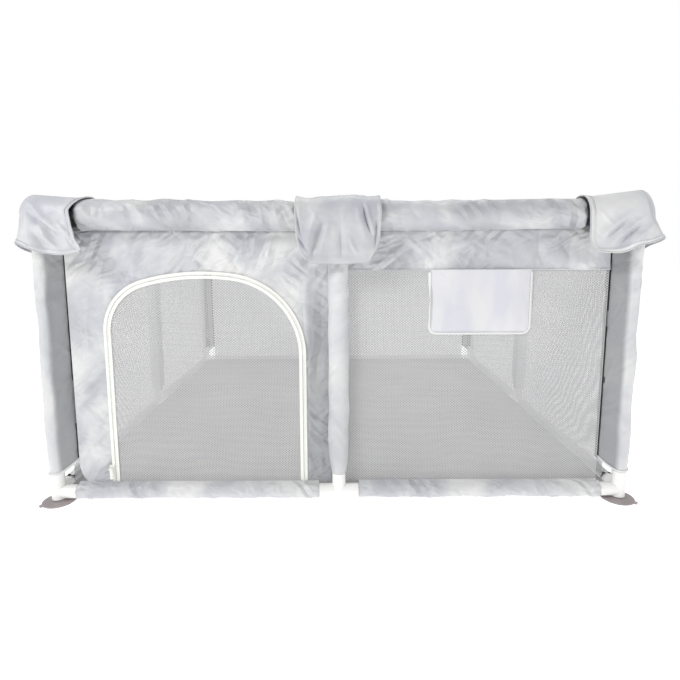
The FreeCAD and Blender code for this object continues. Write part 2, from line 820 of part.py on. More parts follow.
def saddle(side, angle):
    """The fixed part of a middle cap: over the rail from the hinge line outside to a short skirt inside."""
    name = f"mid_cap_saddle_{side}"
    body = new_body(name)
    sketch = new_sketch(body, "YZ_Plane", name + "_outline")
    gap = size("cap_hinge_gap")
    arcs, starts = [], []
    for radius in ("Sizes.cap_radius", "Sizes.cap_radius - Sizes.cloth"):
        r = size(radius)
        turn = math.pi - math.asin(gap / r)
        around = Part.Circle(VECTOR(0, 0, 0), VECTOR(0, 0, 1), r)
        bend = sketch.addGeometry(Part.ArcOfCircle(around, 0, turn))
        sketch.addConstraint(Sketcher.Constraint("Coincident", bend, 3, -1, 1))
        bind(sketch, "Radius", (bend,), radius)
        bind(sketch, "DistanceY", (-1, 1, bend, 2), "Sizes.cap_hinge_gap")
        arcs.append(bend)
        starts.append(VECTOR(r * math.cos(turn), gap, 0))
    low = -size("mid_cap_inner_drop")
    outer, inner = size("cap_radius"), size("cap_radius - cloth")
    lip = sketch.addGeometry(Part.LineSegment(starts[0], starts[1]))
    outer_leg = sketch.addGeometry(Part.LineSegment(VECTOR(outer, 0, 0), VECTOR(outer, low, 0)))
    hem = sketch.addGeometry(Part.LineSegment(VECTOR(outer, low, 0), VECTOR(inner, low, 0)))
    inner_leg = sketch.addGeometry(Part.LineSegment(VECTOR(inner, low, 0), VECTOR(inner, 0, 0)))
    for before, after in (((arcs[0], 2), (lip, 1)), ((lip, 2), (arcs[1], 2))):
        sketch.addConstraint(Sketcher.Constraint("Coincident", *before, *after))
    for before, after in (((outer_leg, 2), (hem, 1)), ((hem, 2), (inner_leg, 1))):
        sketch.addConstraint(Sketcher.Constraint("Coincident", *before, *after))
    sketch.addConstraint(Sketcher.Constraint("Tangent", arcs[0], 1, outer_leg, 1))
    sketch.addConstraint(Sketcher.Constraint("Tangent", arcs[1], 1, inner_leg, 2))
    sketch.addConstraint(Sketcher.Constraint("Vertical", outer_leg))
    sketch.addConstraint(Sketcher.Constraint("Vertical", inner_leg))
    sketch.addConstraint(Sketcher.Constraint("Horizontal", hem))
    bind(sketch, "DistanceY", (-1, 1, hem, 1), "-Sizes.mid_cap_inner_drop")
    pad(body, sketch, "Sizes.mid_cap_width", both_ways=True)
    body.Placement = about_z(angle, at(0, -size("post_span / 2"), size("top_rail_height")))
    node(name, body)


def flap(side, angle):
    """The hanging part of a middle cap, which lifts about the outer side of the rail."""
    name = f"mid_cap_flap_{side}"
    height = "Sizes.mid_cap_drop - Sizes.cap_hinge_gap"
    plain = box(f"{name}_plain", "Sizes.mid_cap_width", "Sizes.cloth", height)
    soft = rounded(name, plain, "Sizes.flap_corner", low_corners(0))
    place = at(
        -size("mid_cap_width / 2"),
        -size("post_span / 2 + cap_radius"),
        size("top_rail_height - mid_cap_drop"),
    )
    soft.Placement = about_z(angle, place)
    node(name, soft)


def caps():
    for corner, angle in CORNERS.items():
        corner_cap(corner, angle)
    for side, angle in SIDES.items():
        saddle(side, angle)
        flap(side, angle)


# ---------------------------------------------------------------- build, check and write


def check():
    """Stop if any object failed or any sub-part isn't valid closed solids."""
    doc.recompute()
    failed = [o.Name for o in doc.Objects if {"Invalid", "Error"} & set(o.State)]
    if failed:
        raise RuntimeError(f"these objects failed: {failed}")
    for label, thing in nodes.items():
        shape = thing.Shape
        if shape.isNull() or not shape.isValid() or not shape.Solids or shape.Volume <= 0:
            raise RuntimeError(f"{label} isn't a valid solid")


def write():
    os.makedirs("parts", exist_ok=True)
    for old in os.listdir("parts"):
        if old.endswith(".step"):
            os.remove(os.path.join("parts", old))
    for label, thing in nodes.items():
        thing.Shape.exportStep(os.path.join("parts", f"{label}.step"))
    print(f"{len(nodes)} sub-parts written")


def main():
    fill_sheet()
    rails(size("low_rail_height"), "low_rails")
    rails(size("top_rail_height"), "top_rails")
    posts()
    rail_covers()
    post_sleeves()
    connectors()
    feet()
    door_wall()
    door()
    mesh_walls()
    pull(*slider())
    toy_pocket()
    floor()
    caps()
    check()
    write()


main()
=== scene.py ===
"""Looks for the playpen: its satin and netting cover, zip, caps, padded rails, plastic joints, and the studio.

Everything is in metres in the frame's own axes: +Z up, the door on the -Y side. A piece of a side is made for
the front side and turned about Z to its own, and a corner's piece is made for the front left corner.
"""

import collections
import functools
import json
import math

import bpy
import numpy as np
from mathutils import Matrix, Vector
from mathutils.geometry import delaunay_2d_cdt

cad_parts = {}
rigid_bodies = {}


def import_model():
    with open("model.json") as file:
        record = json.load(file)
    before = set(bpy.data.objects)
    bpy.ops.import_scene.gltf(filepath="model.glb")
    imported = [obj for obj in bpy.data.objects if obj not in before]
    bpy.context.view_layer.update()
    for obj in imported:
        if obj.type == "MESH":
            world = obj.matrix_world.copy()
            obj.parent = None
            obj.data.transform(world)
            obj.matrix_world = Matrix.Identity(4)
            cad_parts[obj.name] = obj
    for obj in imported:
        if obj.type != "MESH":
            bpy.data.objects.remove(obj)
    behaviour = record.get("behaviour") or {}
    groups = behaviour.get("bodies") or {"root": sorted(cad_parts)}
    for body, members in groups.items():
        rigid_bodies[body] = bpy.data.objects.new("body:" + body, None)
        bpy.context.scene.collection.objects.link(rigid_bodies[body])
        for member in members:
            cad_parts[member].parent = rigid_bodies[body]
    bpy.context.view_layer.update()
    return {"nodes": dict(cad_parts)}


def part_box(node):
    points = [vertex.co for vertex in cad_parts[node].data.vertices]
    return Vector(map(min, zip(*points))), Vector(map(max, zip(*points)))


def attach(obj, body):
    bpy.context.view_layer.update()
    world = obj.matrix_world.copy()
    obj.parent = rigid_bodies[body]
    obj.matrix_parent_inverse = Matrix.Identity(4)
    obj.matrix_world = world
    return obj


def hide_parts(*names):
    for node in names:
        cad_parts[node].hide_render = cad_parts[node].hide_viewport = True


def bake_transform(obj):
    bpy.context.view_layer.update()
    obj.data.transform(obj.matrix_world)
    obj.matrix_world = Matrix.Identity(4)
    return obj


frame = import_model()

SIDES = {"front": 0, "right": 90, "back": 180, "left": 270}
CORNERS = {"front_left": 0, "front_right": 90, "back_right": 180, "back_left": 270}


# ---- places, read from the frame


def low(node):
    return np.array(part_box(node)[0])


def high(node):
    return np.array(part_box(node)[1])


def middle(node):
    return (low(node) + high(node)) / 2


POST = middle("corner_post_front_right")[0]
RAIL_TOP = middle("top_rails_front")[2]
RAIL_LOW = middle("low_rails_front")[2]
SLEEVE_RADIUS = high("top_rail_sleeves")[0] - POST
LOW_SLEEVE_RADIUS = high("low_rail_sleeves")[0] - POST
MID_SLEEVE_RADIUS = high("mid_post_sleeves")[0] - POST
CORNER_SLEEVE_RADIUS = high("corner_post_sleeves")[0] - POST
CAP_RADIUS = high("corner_cap_front_right")[0] - POST
SLEEVE_FOOT = low("corner_post_sleeves")[2]
SLEEVE_HEAD = high("corner_post_sleeves")[2]
WALL_FAR, WALL_FACE, SEAM_LOW = low("door_wall_front_left") * [-1, 1, 1] + [0, 0, 0.005]
WALL_NEAR, _, SEAM_TOP = high("door_wall_front_left") * [-1, 1, 1]
WALL_MIDDLE = middle("door_wall_front_left")[1]
_, DOOR_FACE, SILL = low("door_mesh")
DOOR_MIDDLE = middle("door_mesh")[1]
BAND_LOW = high("toy_pocket")[2] + 0.002
# the zip's teeth run this far inside the outer half of the tape, and past the edge of the inner half
TAPE_GAP = 0.00075
ZIP_LEFT = low("zip_tape_door")[0] - TAPE_GAP
ZIP_RIGHT, _, ZIP_TOP = high("zip_tape_door") + TAPE_GAP
TAPE_HALF = ZIP_LEFT - low("zip_tape_wall")[0]
# the seams of the two walls on a corner sleeve, inwards from the post's axis
KITE_FAR, KITE_NEAR = 0.045, 0.022
# the padding of the top rails ends this far from a post, by a plain corner cap and by a bound one
PAD_ENDS = (0.091, 0.1185)
# a piece of cloth is built this far inside the CAD piece that it covers
SKIN = 0.0008
# the walls' cloth starts to rise with the rails' covers at this height
RISE_FROM = 0.5
# the arcs of the door's outline
CROWN_RADIUS, CROWN_MIDDLE = 0.472, -0.288
LEFT_SHOULDER, RIGHT_SHOULDER = 0.108, 0.170


# ---- mesh helpers


def turned(points, angle):
    """Points made for the front, turned about the pen's vertical axis."""
    a = math.radians(angle)
    x, y, z = np.asarray(points, float).reshape(-1, 3).T
    return np.column_stack([x * math.cos(a) - y * math.sin(a), x * math.sin(a) + y * math.cos(a), z])


def linked(name, data):
    """A new object in the scene."""
    thing = bpy.data.objects.new(name, data)
    bpy.context.scene.collection.objects.link(thing)
    return thing


def piece(name, points, faces, uv=None, material=None, body="pen"):
    """A smooth mesh object, with a UV map that gives each point's place on the flat cloth in metres."""
    mesh = bpy.data.meshes.new(name)
    mesh.from_pydata([tuple(p) for p in points], [], [tuple(int(i) for i in f) for f in faces])
    mesh.update()
    mesh.polygons.foreach_set("use_smooth", [True] * len(mesh.polygons))
    if uv is not None:
        layer = mesh.uv_layers.new(name="cloth")
        corner_of = np.empty(len(mesh.loops), int)
        mesh.loops.foreach_get("vertex_index", corner_of)
        layer.data.foreach_set("uv", np.asarray(uv, float)[corner_of].ravel())
    thing = linked(name, mesh)
    if material is not None:
        mesh.materials.append(material)
    if body is not None:
        thing["rides"] = body
    return thing


def points_of(thing):
    points = np.empty(len(thing.data.vertices) * 3)
    thing.data.vertices.foreach_get("co", points)
    return points.reshape(-1, 3)


def set_points(thing, points):
    thing.data.vertices.foreach_set("co", np.asarray(points, float).ravel())
    thing.data.update()


def shaded(thing, values):
    """Darken satin, point by point, where it lies in a seam or away from the light; 0 leaves it as it is."""
    layer = thing.data.attributes.new("shade", "FLOAT", "POINT")
    layer.data.foreach_set("value", np.clip(values, 0, 1))


def lattice(rows, columns, start=0):
    """The faces of a grid of rows x columns points."""
    faces = []
    for i in range(rows - 1):
        j = np.arange(columns - 1)
        here, there = start + i * columns, start + (i + 1) * columns
        faces.extend(np.column_stack([here + j, here + j + 1, there + j + 1, there + j]).tolist())
    return faces


def inside(spots, ring):
    """Which of the spots lie inside a closed ring of points."""
    ring = np.asarray(ring)
    x, y = np.asarray(spots, float).reshape(-1, 2).T
    within = np.zeros(len(x), bool)
    for (x0, y0), (x1, y1) in zip(ring, np.roll(ring, -1, axis=0)):
        if y0 != y1:
            within ^= ((y0 > y) != (y1 > y)) & (x < (x1 - x0) * (y - y0) / (y1 - y0) + x0)
    return within


def edge_distance(flat, ring):
    """How far each flat point is from a ring of closely spaced points."""
    gaps = []
    for start in range(0, len(flat), 4000):
        some = flat[start : start + 4000, None, :]
        gaps.append(np.min(np.linalg.norm(some - ring[None, :, :], axis=2), axis=1))
    return np.concatenate(gaps)


def cut_cloth(ring, spacing, seed):
    """Triangles of about one size that fill a ring in the cloth's flat plane, their front towards the viewer."""
    rng = np.random.default_rng(seed)
    ring = np.asarray(ring, float)
    lo, hi = ring.min(axis=0), ring.max(axis=0)
    rows = []
    for number, v in enumerate(np.arange(lo[1] + spacing, hi[1] - 0.3 * spacing, spacing * 0.866)):
        across = np.arange(lo[0] + spacing, hi[0] - 0.3 * spacing, spacing) + (spacing / 2 if number % 2 else 0)
        rows.append(np.column_stack([across, np.full(len(across), v)]))
    spots = np.vstack(rows)
    spots += rng.uniform(-0.12, 0.12, spots.shape) * spacing
    spots = spots[inside(spots, ring) & (edge_distance(spots, ring) > 0.55 * spacing)]
    edges = [(i, (i + 1) % len(ring)) for i in range(len(ring))]
    out, _, faces, *_ = delaunay_2d_cdt([Vector(p) for p in np.vstack([ring, spots])], edges, [], 0, 1e-7)
    flat = np.array([tuple(p) for p in out])
    faces = [list(f) for f in faces]
    kept = inside([flat[f].mean(axis=0) for f in faces], ring)
    facing = []
    for face, keep in zip(faces, kept):
        (ax, ay), (bx, by), (cx, cy) = flat[face[:3]]
        if keep:
            facing.append(face if (bx - ax) * (cy - ay) > (by - ay) * (cx - ax) else face[::-1])
    return flat, facing


def evened(points, step, closed=False):
    """Points spaced evenly along a line, about step apart."""
    line = np.asarray(points, float)
    if closed:
        line = np.vstack([line, line[:1]])
    run = np.concatenate([[0], np.cumsum(np.linalg.norm(np.diff(line, axis=0), axis=1))])
    wanted = np.linspace(0, run[-1], max(2, int(round(run[-1] / step)) + 1))
    if closed:
        wanted = wanted[:-1]
    return np.column_stack([np.interp(wanted, run, line[:, k]) for k in range(line.shape[1])])


def arc(centre, radius, start, end, count=40):
    """Points on an arc in a plane, from one angle in radians to another."""
    turn = np.linspace(start, end, count)
    return np.asarray(centre, float) + radius * np.column_stack([np.cos(turn), np.sin(turn)])


def rounded_ring(corners, radii, step):
    """A closed outline with rounded corners, its points evenly spaced."""
    corners = np.asarray(corners, float)
    line = []
    for i, (corner, radius) in enumerate(zip(corners, radii)):
        before = corners[i - 1] - corner
        after = corners[(i + 1) % len(corners)] - corner
        before /= np.linalg.norm(before)
        after /= np.linalg.norm(after)
        half = math.acos(np.clip(before @ after, -1, 1)) / 2
        back = radius / math.tan(half)
        centre = corner + (before + after) / np.linalg.norm(before + after) * radius / math.sin(half)
        start, end = corner + before * back - centre, corner + after * back - centre
        for t in np.linspace(0, 1, 9):
            way = start * (1 - t) + end * t
            line.append(centre + way / max(np.linalg.norm(way), 1e-9) * radius)
    return evened(line, step, closed=True)


def rope(name, line, radius, material, body="pen", sides=8, closed=False, flat=1.0):
    """A round cord or piping along a line of points; flat under 1 squeezes it."""
    line = np.asarray(line, float)
    count = len(line)
    ahead = np.roll(line, -1, axis=0) - np.roll(line, 1, axis=0)
    if not closed:
        ahead[0], ahead[-1] = line[1] - line[0], line[-1] - line[-2]
    ahead /= np.linalg.norm(ahead, axis=1)[:, None]
    across = np.cross(ahead[0], [0.31, 0.53, 0.79])
    turn = np.linspace(0, 2 * math.pi, sides, endpoint=False)
    rings = []
    for spot, way in zip(line, ahead):
        across = across - way * (across @ way)
        across /= np.linalg.norm(across)
        other = np.cross(way, across)
        rings.append(spot + radius * (np.outer(np.cos(turn), across) + flat * np.outer(np.sin(turn), other)))
    points = np.array(rings).transpose(1, 0, 2).reshape(-1, 3)
    faces = []
    for j in range(sides):
        for i in range(count if closed else count - 1):
            k, n = (i + 1) % count, (j + 1) % sides
            faces.append((j * count + i, n * count + i, n * count + k, j * count + k))
    if not closed:
        faces.append([j * count for j in reversed(range(sides))])
        faces.append([j * count + count - 1 for j in range(sides)])
    run = np.concatenate([[0], np.cumsum(np.linalg.norm(np.diff(line, axis=0), axis=1))])
    uv = np.column_stack([np.tile(run, sides), np.repeat(np.arange(sides) * radius * 0.8, count)])
    return piece(name, points, faces, uv, material, body)


def merged(name, parts, material, body="pen"):
    """One object from several lists of points and faces."""
    points, faces = [], []
    for some_points, some_faces in parts:
        start = len(points)
        points.extend(some_points)
        faces.extend([[start + i for i in f] for f in some_faces])
    return piece(name, points, faces, None, material, body)


def shell(rings):
    """The faces of a closed bead of this many rings of four points."""
    pairs = [(4 * k + t, 4 * k + (t + 1) % 4) for k in range(rings - 1) for t in range(4)]
    return [[a, b, b + 4, a + 4] for a, b in pairs] + [[3, 2, 1, 0], [4 * rings - 4 + t for t in range(4)]]


def stitches(name, line, outward, material, body="pen", pitch=0.0045, length=0.003, thick=0.0004):
    """A row of stitches along a line: a little thread bump every pitch, on cloth whose normals are given."""
    places = evened(np.hstack([line, outward]), pitch)
    parts = []
    for here, there in zip(places, places[1:]):
        ahead = there[:3] - here[:3]
        if np.linalg.norm(ahead) < 1e-9:
            continue
        ahead /= np.linalg.norm(ahead)
        up = here[3:] / np.linalg.norm(here[3:])
        side = np.cross(ahead, up)
        points = []
        for along, rise in ((-0.5, 0.0), (-0.3, 1.0), (0.3, 1.0), (0.5, 0.0)):
            wide = thick * (0.35 + 0.65 * rise)
            for angle in np.radians([45, 135, 225, 315]):
                shift = side * math.cos(angle) * wide + up * (math.sin(angle) * wide + thick * rise * 0.6)
                points.append(here[:3] + ahead * along * length + shift)
        parts.append((points, shell(4)))
    return merged(name, parts, material, body)


def marks(seed, count, spread, angle, reach, width, height, wander=25):
    """Random creases on flat cloth: place, direction, half length, half width, lift and bow of each.

    spread is the cloth's (u low, u high, v low, v high); the rest are typical values in degrees and metres.
    """
    rng = np.random.default_rng(seed)
    u = rng.uniform(spread[0], spread[1], count)
    v = rng.uniform(spread[2], spread[3], count)
    turn = np.radians(rng.normal(angle, wander, count))
    size = rng.uniform(0.4, 1.3, count)
    lift = height * rng.uniform(0.3, 1.0, count) * rng.choice([-0.7, 1.0], count)
    bow = rng.normal(0, 0.12, count)
    return np.column_stack([u, v, turn, reach * size, width * rng.uniform(0.6, 1.4, count), lift, bow])


def creased(u, v, lines):
    """How far the creases lift the cloth at each (u, v)."""
    lift = np.zeros(len(u))
    for cu, cv, turn, reach, width, height, bow in lines:
        along = (u - cu) * math.cos(turn) + (v - cv) * math.sin(turn)
        near = np.abs(along) < reach
        along = along[near]
        off = (v[near] - cv) * math.cos(turn) - (u[near] - cu) * math.sin(turn) + bow * along**2 / reach
        ridge = 0.6 * np.exp(-((off / width) ** 2)) + 0.4 * np.exp(-np.abs(off) / (0.5 * width))
        lift[near] += height * (1 - (along / reach) ** 2) ** 2 * ridge
    return lift


def waves(u, v, seed, size, height, count=14):
    """Smooth low swells in cloth, a sum of sines of random direction about size apart."""
    rng = np.random.default_rng(seed)
    lift = np.zeros(len(u))
    for _ in range(count):
        turn, phase = rng.uniform(0, math.pi), rng.uniform(0, 2 * math.pi)
        rate = 2 * math.pi / (size * rng.uniform(0.6, 1.6))
        lift += np.sin(rate * (u * math.cos(turn) + v * math.sin(turn)) + phase)
    return lift * height / math.sqrt(count)


# ---- cloth simulation


def settle(cloth_piece, pins, cut):
    """Let a pinned sheet settle by simulation and keep the shape it comes to. cut is its shape before it was sewn."""
    frames, stiff = 24, 14
    cloth_piece.shape_key_add(name="Basis")
    key = cloth_piece.shape_key_add(name="cut")
    key.data.foreach_set("co", cut.ravel())
    modifier = cloth_piece.modifiers.new("settle", "CLOTH")
    how = modifier.settings
    how.quality, how.mass, how.air_damping = 5, 0.15, 1.5
    how.tension_stiffness = how.compression_stiffness = stiff
    how.shear_stiffness, how.bending_stiffness = stiff * 0.4, 0.06
    how.tension_damping = how.compression_damping = how.shear_damping = 5
    how.bending_damping = 0.5
    how.effector_weights.gravity = 0.5
    how.rest_shape_key = key
    held = cloth_piece.vertex_groups.new(name="held")
    held.add(pins, 1.0, "REPLACE")
    how.vertex_group_mass = "held"
    modifier.collision_settings.use_collision = False
    modifier.point_cache.frame_start, modifier.point_cache.frame_end = 1, frames
    scene = bpy.context.scene
    scene.frame_start, scene.frame_end = 1, frames
    for number in range(1, frames + 1):
        scene.frame_set(number)
    seen = cloth_piece.evaluated_get(bpy.context.evaluated_depsgraph_get())
    settled = np.array([tuple(v.co) for v in seen.data.vertices])
    cloth_piece.modifiers.remove(modifier)
    cloth_piece.shape_key_clear()
    cloth_piece.vertex_groups.clear()
    scene.frame_set(1)
    set_points(cloth_piece, settled)


def smoothed(cloth_piece, levels, thickness=0.0):
    """Subdivide a sheet, and thicken it backwards from its front if its thickness shows."""
    if levels:
        finer = cloth_piece.modifiers.new("finer", "SUBSURF")
        finer.levels = finer.render_levels = levels
        finer.boundary_smooth = "PRESERVE_CORNERS"
    if thickness:
        thick = cloth_piece.modifiers.new("thick", "SOLIDIFY")
        thick.thickness, thick.offset = thickness, -1
    graph = bpy.context.evaluated_depsgraph_get()
    mesh = bpy.data.meshes.new_from_object(cloth_piece.evaluated_get(graph))
    cloth_piece.modifiers.clear()
    old, cloth_piece.data = cloth_piece.data, mesh
    mesh.name = old.name
    bpy.data.meshes.remove(old)
    mesh.polygons.foreach_set("use_smooth", [True] * len(mesh.polygons))


class Shader:
    """A material's node tree with short ways to add the nodes that are used here."""

    def __init__(self, name, colour, rough, **sockets):
        self.material = bpy.data.materials.new(name)
        self.material.use_nodes = True
        self.tree = self.material.node_tree
        self.surface = self.tree.nodes["Principled BSDF"]
        self.surface.inputs["Base Color"].default_value = (*colour, 1)
        self.surface.inputs["Roughness"].default_value = rough
        for socket, value in sockets.items():
            self.surface.inputs[socket.replace("_", " ")].default_value = value

    def add(self, kind, inputs=None, **settings):
        node = self.tree.nodes.new(kind)
        for key, value in settings.items():
            setattr(node, key, value)
        for key, value in (inputs or {}).items():
            if hasattr(value, "is_output"):
                self.tree.links.new(value, node.inputs[key])
            else:
                node.inputs[key].default_value = value
        return node

    def math(self, operation, a, b=0.0, c=0.0):
        return self.add("ShaderNodeMath", {0: a, 1: b, 2: c}, operation=operation).outputs[0]

    def flat_place(self):
        """A point's place on the flat cloth, in metres."""
        return self.add("ShaderNodeUVMap", uv_map="cloth").outputs["UV"]

    def place(self):
        """A point's place on the object, in metres."""
        return self.add("ShaderNodeTexCoord").outputs["Object"]

    def stretched(self, place, scale, turn=0.0):
        spin = (0, 0, math.radians(turn))
        return self.add("ShaderNodeMapping", {"Vector": place, "Scale": scale, "Rotation": spin}).outputs[0]

    def noise(self, place, scale, detail=2.0, rough=0.5, distortion=0.0):
        inputs = {"Vector": place, "Scale": scale, "Detail": detail, "Roughness": rough, "Distortion": distortion}
        return self.add("ShaderNodeTexNoise", inputs).outputs["Fac"]

    def twill(self, place, scale, **inputs):
        """Diagonal ribs over the object."""
        inputs = {"Vector": place, "Scale": scale, **inputs}
        return self.add("ShaderNodeTexWave", inputs, bands_direction="DIAGONAL").outputs["Fac"]

    def folded(self, place, turn, period, height, seed):
        """The height of sharp straight creases about a period apart, running one way and fading in and out."""
        lean = self.stretched(place, (1.0, 1.0, 1.0), turn)
        shift = self.add("ShaderNodeVectorMath", {0: lean, 1: (seed, seed * 1.7, 0)}, operation="ADD").outputs[0]
        wobble = self.noise(self.stretched(shift, (1.0, 0.45, 1.0)), 0.22 / period, 3.0, 0.5)
        across = self.add("ShaderNodeSeparateXYZ", {0: lean}).outputs[0]
        way = self.math("MULTIPLY_ADD", wobble, 6.0 * period, across)
        there = self.add("ShaderNodeMapRange", {"Value": self.noise(shift, 0.30 / period, 1.0), 1: 0.42, 2: 0.62})
        crease = self.math("PINGPONG", way, period / 2)
        return self.math("MULTIPLY", crease, self.math("MULTIPLY", there.outputs[0], height))

    def tinted(self, factor, dark, light, start=0.3, end=0.7):
        ramp = self.add("ShaderNodeValToRGB", {"Fac": factor})
        for stop, place, colour in zip(ramp.color_ramp.elements, (start, end), (dark, light)):
            stop.position = place
            stop.color = (*colour, 1)
        return ramp.outputs["Color"]

    def bump(self, height, distance=1.0, strength=1.0, below=None):
        inputs = {"Height": height, "Distance": distance, "Strength": strength}
        if below is not None:
            inputs["Normal"] = below
        return self.add("ShaderNodeBump", inputs).outputs["Normal"]

    def threads(self, flat, pitch):
        """Over and under: the pattern of crossing threads this far apart."""
        across, up, _ = self.add("ShaderNodeSeparateXYZ", {0: flat}).outputs
        rate = 2 * math.pi / pitch
        return self.math("MULTIPLY", *(self.math("SINE", self.math("MULTIPLY", way, rate)) for way in (across, up)))

    def finish(self, colour=None, normal=None, rough=None, alpha=None):
        for socket, value in (("Base Color", colour), ("Normal", normal), ("Roughness", rough), ("Alpha", alpha)):
            if value is not None:
                self.tree.links.new(value, self.surface.inputs[socket])
        return self.material


def satin(name, dark, light, crumple=1.0):
    """Thin satin polyester: a tight weave, crumpled facets and fine creases, and patches of two greys."""
    shader = Shader(name, light, 0.42, Sheen_Weight=0.2, Sheen_Roughness=0.4, Specular_IOR_Level=0.6)
    flat = shader.flat_place()
    patches = shader.noise(flat, 7.0, 3.0, 0.55, 0.6)
    colour = shader.tinted(patches, dark, light, 0.38, 0.62)
    shade = shader.add("ShaderNodeAttribute", attribute_name="shade").outputs["Fac"]
    mix = {0: shade, 6: colour, 7: (*(c * 0.42 for c in dark), 1)}
    colour = shader.add("ShaderNodeMix", mix, data_type="RGBA").outputs[2]
    sets = ((38, 0.034, 0.17, 1.3), (-52, 0.026, 0.14, 4.1), (8, 0.050, 0.13, 7.7), (66, 0.014, 0.12, 2.9))
    heights = [shader.folded(flat, turn, period, steep * crumple, seed) for turn, period, steep, seed in sets]
    normal = shader.bump(functools.reduce(lambda total, height: shader.math("ADD", total, height), heights))
    normal = shader.bump(shader.threads(flat, 0.0007), 0.00004, 0.5, normal)
    rough = shader.math("MULTIPLY_ADD", shader.noise(flat, 40.0, 3.0), 0.16, 0.34)
    return shader.finish(colour, normal, rough)


def netting(name, colour, cell_wide, cell_high, thread):
    """Knitted netting: crossing threads round rounded holes."""
    shader = Shader(name, colour, 0.6, Sheen_Weight=0.1)
    across, up, _ = shader.add("ShaderNodeSeparateXYZ", {0: shader.flat_place()}).outputs
    u = shader.math("DIVIDE", across, cell_wide)
    v = shader.math("DIVIDE", up, cell_high)
    one = shader.math("PINGPONG", shader.math("ADD", u, v), 0.5)
    two = shader.math("PINGPONG", shader.math("SUBTRACT", u, v), 0.5)
    hole = shader.math("MULTIPLY", one, two)
    cloth = shader.math("LESS_THAN", hole, thread)
    normal = shader.bump(hole, 0.004, 0.6)
    # painted shade: each thread darkens towards the holes' edges, where a round thread turns from the light
    tint = shader.tinted(hole, colour, tuple(c * 0.72 for c in colour), 0.0, thread)
    return shader.finish(tint, normal, None, cloth)


def thin_cloth(name, colour, cover):
    """Thin open cloth that lets a little of what is behind it through."""
    shader = Shader(name, colour, 0.6, Sheen_Weight=0.2, Alpha=cover)
    flat = shader.flat_place()
    patches = shader.noise(shader.stretched(flat, (1.0, 0.4, 1.0)), 16.0, 2.0)
    tint = shader.tinted(patches, (colour[0] * 0.90, colour[1] * 0.90, colour[2] * 0.96), colour, 0.4, 0.6)
    folds = shader.bump(shader.noise(shader.stretched(flat, (1.0, 0.12, 1.0)), 90.0, 2.0), 0.0025, 0.5)
    return shader.finish(tint, shader.bump(shader.threads(flat, 0.0011), 0.0001, 0.5, folds))


def tape_cloth(name, colour):
    """Woven zip tape and bias binding: a fine twill, a little soiled."""
    shader = Shader(name, colour, 0.62, Sheen_Weight=0.15)
    place = shader.place()
    tint = shader.tinted(shader.noise(place, 18.0, 4.0), tuple(c * 0.93 for c in colour), colour)
    return shader.finish(tint, shader.bump(shader.twill(place, 260.0, Distortion=0.4), 0.00015, 0.35))


def moulded(name, colour, rough, **sockets):
    """Moulded plastic or rubber: a faint grain, and slightly uneven gloss and colour."""
    shader = Shader(name, colour, rough, **sockets)
    place = shader.place()
    clouds = shader.noise(place, 14.0, 3.0)
    tint = shader.tinted(clouds, tuple(c * 0.95 for c in colour), colour)
    glossy = shader.math("MULTIPLY_ADD", clouds, 0.14, rough - 0.07)
    return shader.finish(tint, shader.bump(shader.noise(place, 900.0), 0.00006, 0.3), glossy)


def thread_material(name, colour):
    """Twisted sewing thread."""
    shader = Shader(name, colour, 0.55, Sheen_Weight=0.3)
    return shader.finish(None, shader.bump(shader.twill(shader.place(), 900.0), 0.0001, 0.4))


def floor_weave(name, dark, light):
    """The pen's own floor: a matt woven cloth, coarser than the satin, with slack folds."""
    shader = Shader(name, light, 0.75, Sheen_Weight=0.15)
    flat = shader.flat_place()
    colour = shader.tinted(shader.noise(flat, 5.0, 4.0), dark, light)
    normal = shader.bump(shader.noise(flat, 26.0, 3.0, 0.6, 0.8), 0.004, 0.4)
    return shader.finish(colour, shader.bump(shader.threads(flat, 0.0016), 0.00012, 0.5, normal))


SATIN = satin("silver_satin", (0.500, 0.506, 0.545), (0.715, 0.718, 0.712), 1.3)
# painted light: a lighter copy of the same satin, for the post sleeves and for the low sleeves seen from inside the
# pen
SATIN_LIT = satin("satin_painted_lit", (0.595, 0.603, 0.630), (0.750, 0.752, 0.742), 0.6)
SATIN_CAP = satin("cap_satin", (0.470, 0.478, 0.520), (0.610, 0.615, 0.610), 0.3)
SATIN_CORNER = satin("corner_cap_satin", (0.535, 0.545, 0.590), (0.700, 0.706, 0.700), 0.3)
# painted shade: a near-black satin laid where there is only shadow, in the gaps beside the walls and under the caps
GAP_SHADE_SATIN = satin("painted_gap_shade", (0.065, 0.067, 0.070), (0.095, 0.098, 0.100), 0.5)
NET = netting("grey_netting", (0.60, 0.60, 0.605), 0.0066, 0.0054, 0.080)
NET_BACK = netting("pale_netting", (0.86, 0.86, 0.865), 0.0066, 0.0054, 0.105)
POCKET = thin_cloth("pocket_cloth", (0.80, 0.80, 0.82), 0.84)
TAPE = tape_cloth("white_zip_tape", (0.90, 0.90, 0.86))
BINDING = tape_cloth("pale_binding", (0.78, 0.78, 0.78))
TEETH = moulded("zip_teeth", (0.86, 0.86, 0.80), 0.35)
PLASTIC = moulded("white_plastic", (0.92, 0.92, 0.90), 0.32)
RUBBER = moulded("suction_rubber", (0.47, 0.42, 0.42), 0.3, Transmission_Weight=0.25)
TUBE = moulded("white_tube", (0.86, 0.86, 0.86), 0.3)
THREAD = thread_material("grey_thread", (0.50, 0.51, 0.53))
WHITE_THREAD = thread_material("white_thread", (0.85, 0.85, 0.84))
FLOOR_CLOTH = floor_weave("grey_floor_cloth", (0.33, 0.33, 0.335), (0.43, 0.43, 0.435))


# ---- sleeves round posts and rails


def drawn(radius, seam):
    """A loop of cloth round a tube of this radius, drawn out to a seam; the loop starts and ends on the seam."""
    seam = np.asarray(seam, float)
    reach, way = np.linalg.norm(seam), math.atan2(seam[1], seam[0])
    spread = math.acos(radius / reach)
    return np.vstack([seam, arc((0, 0), radius, way + spread, way - spread + 2 * math.pi, 60), seam])


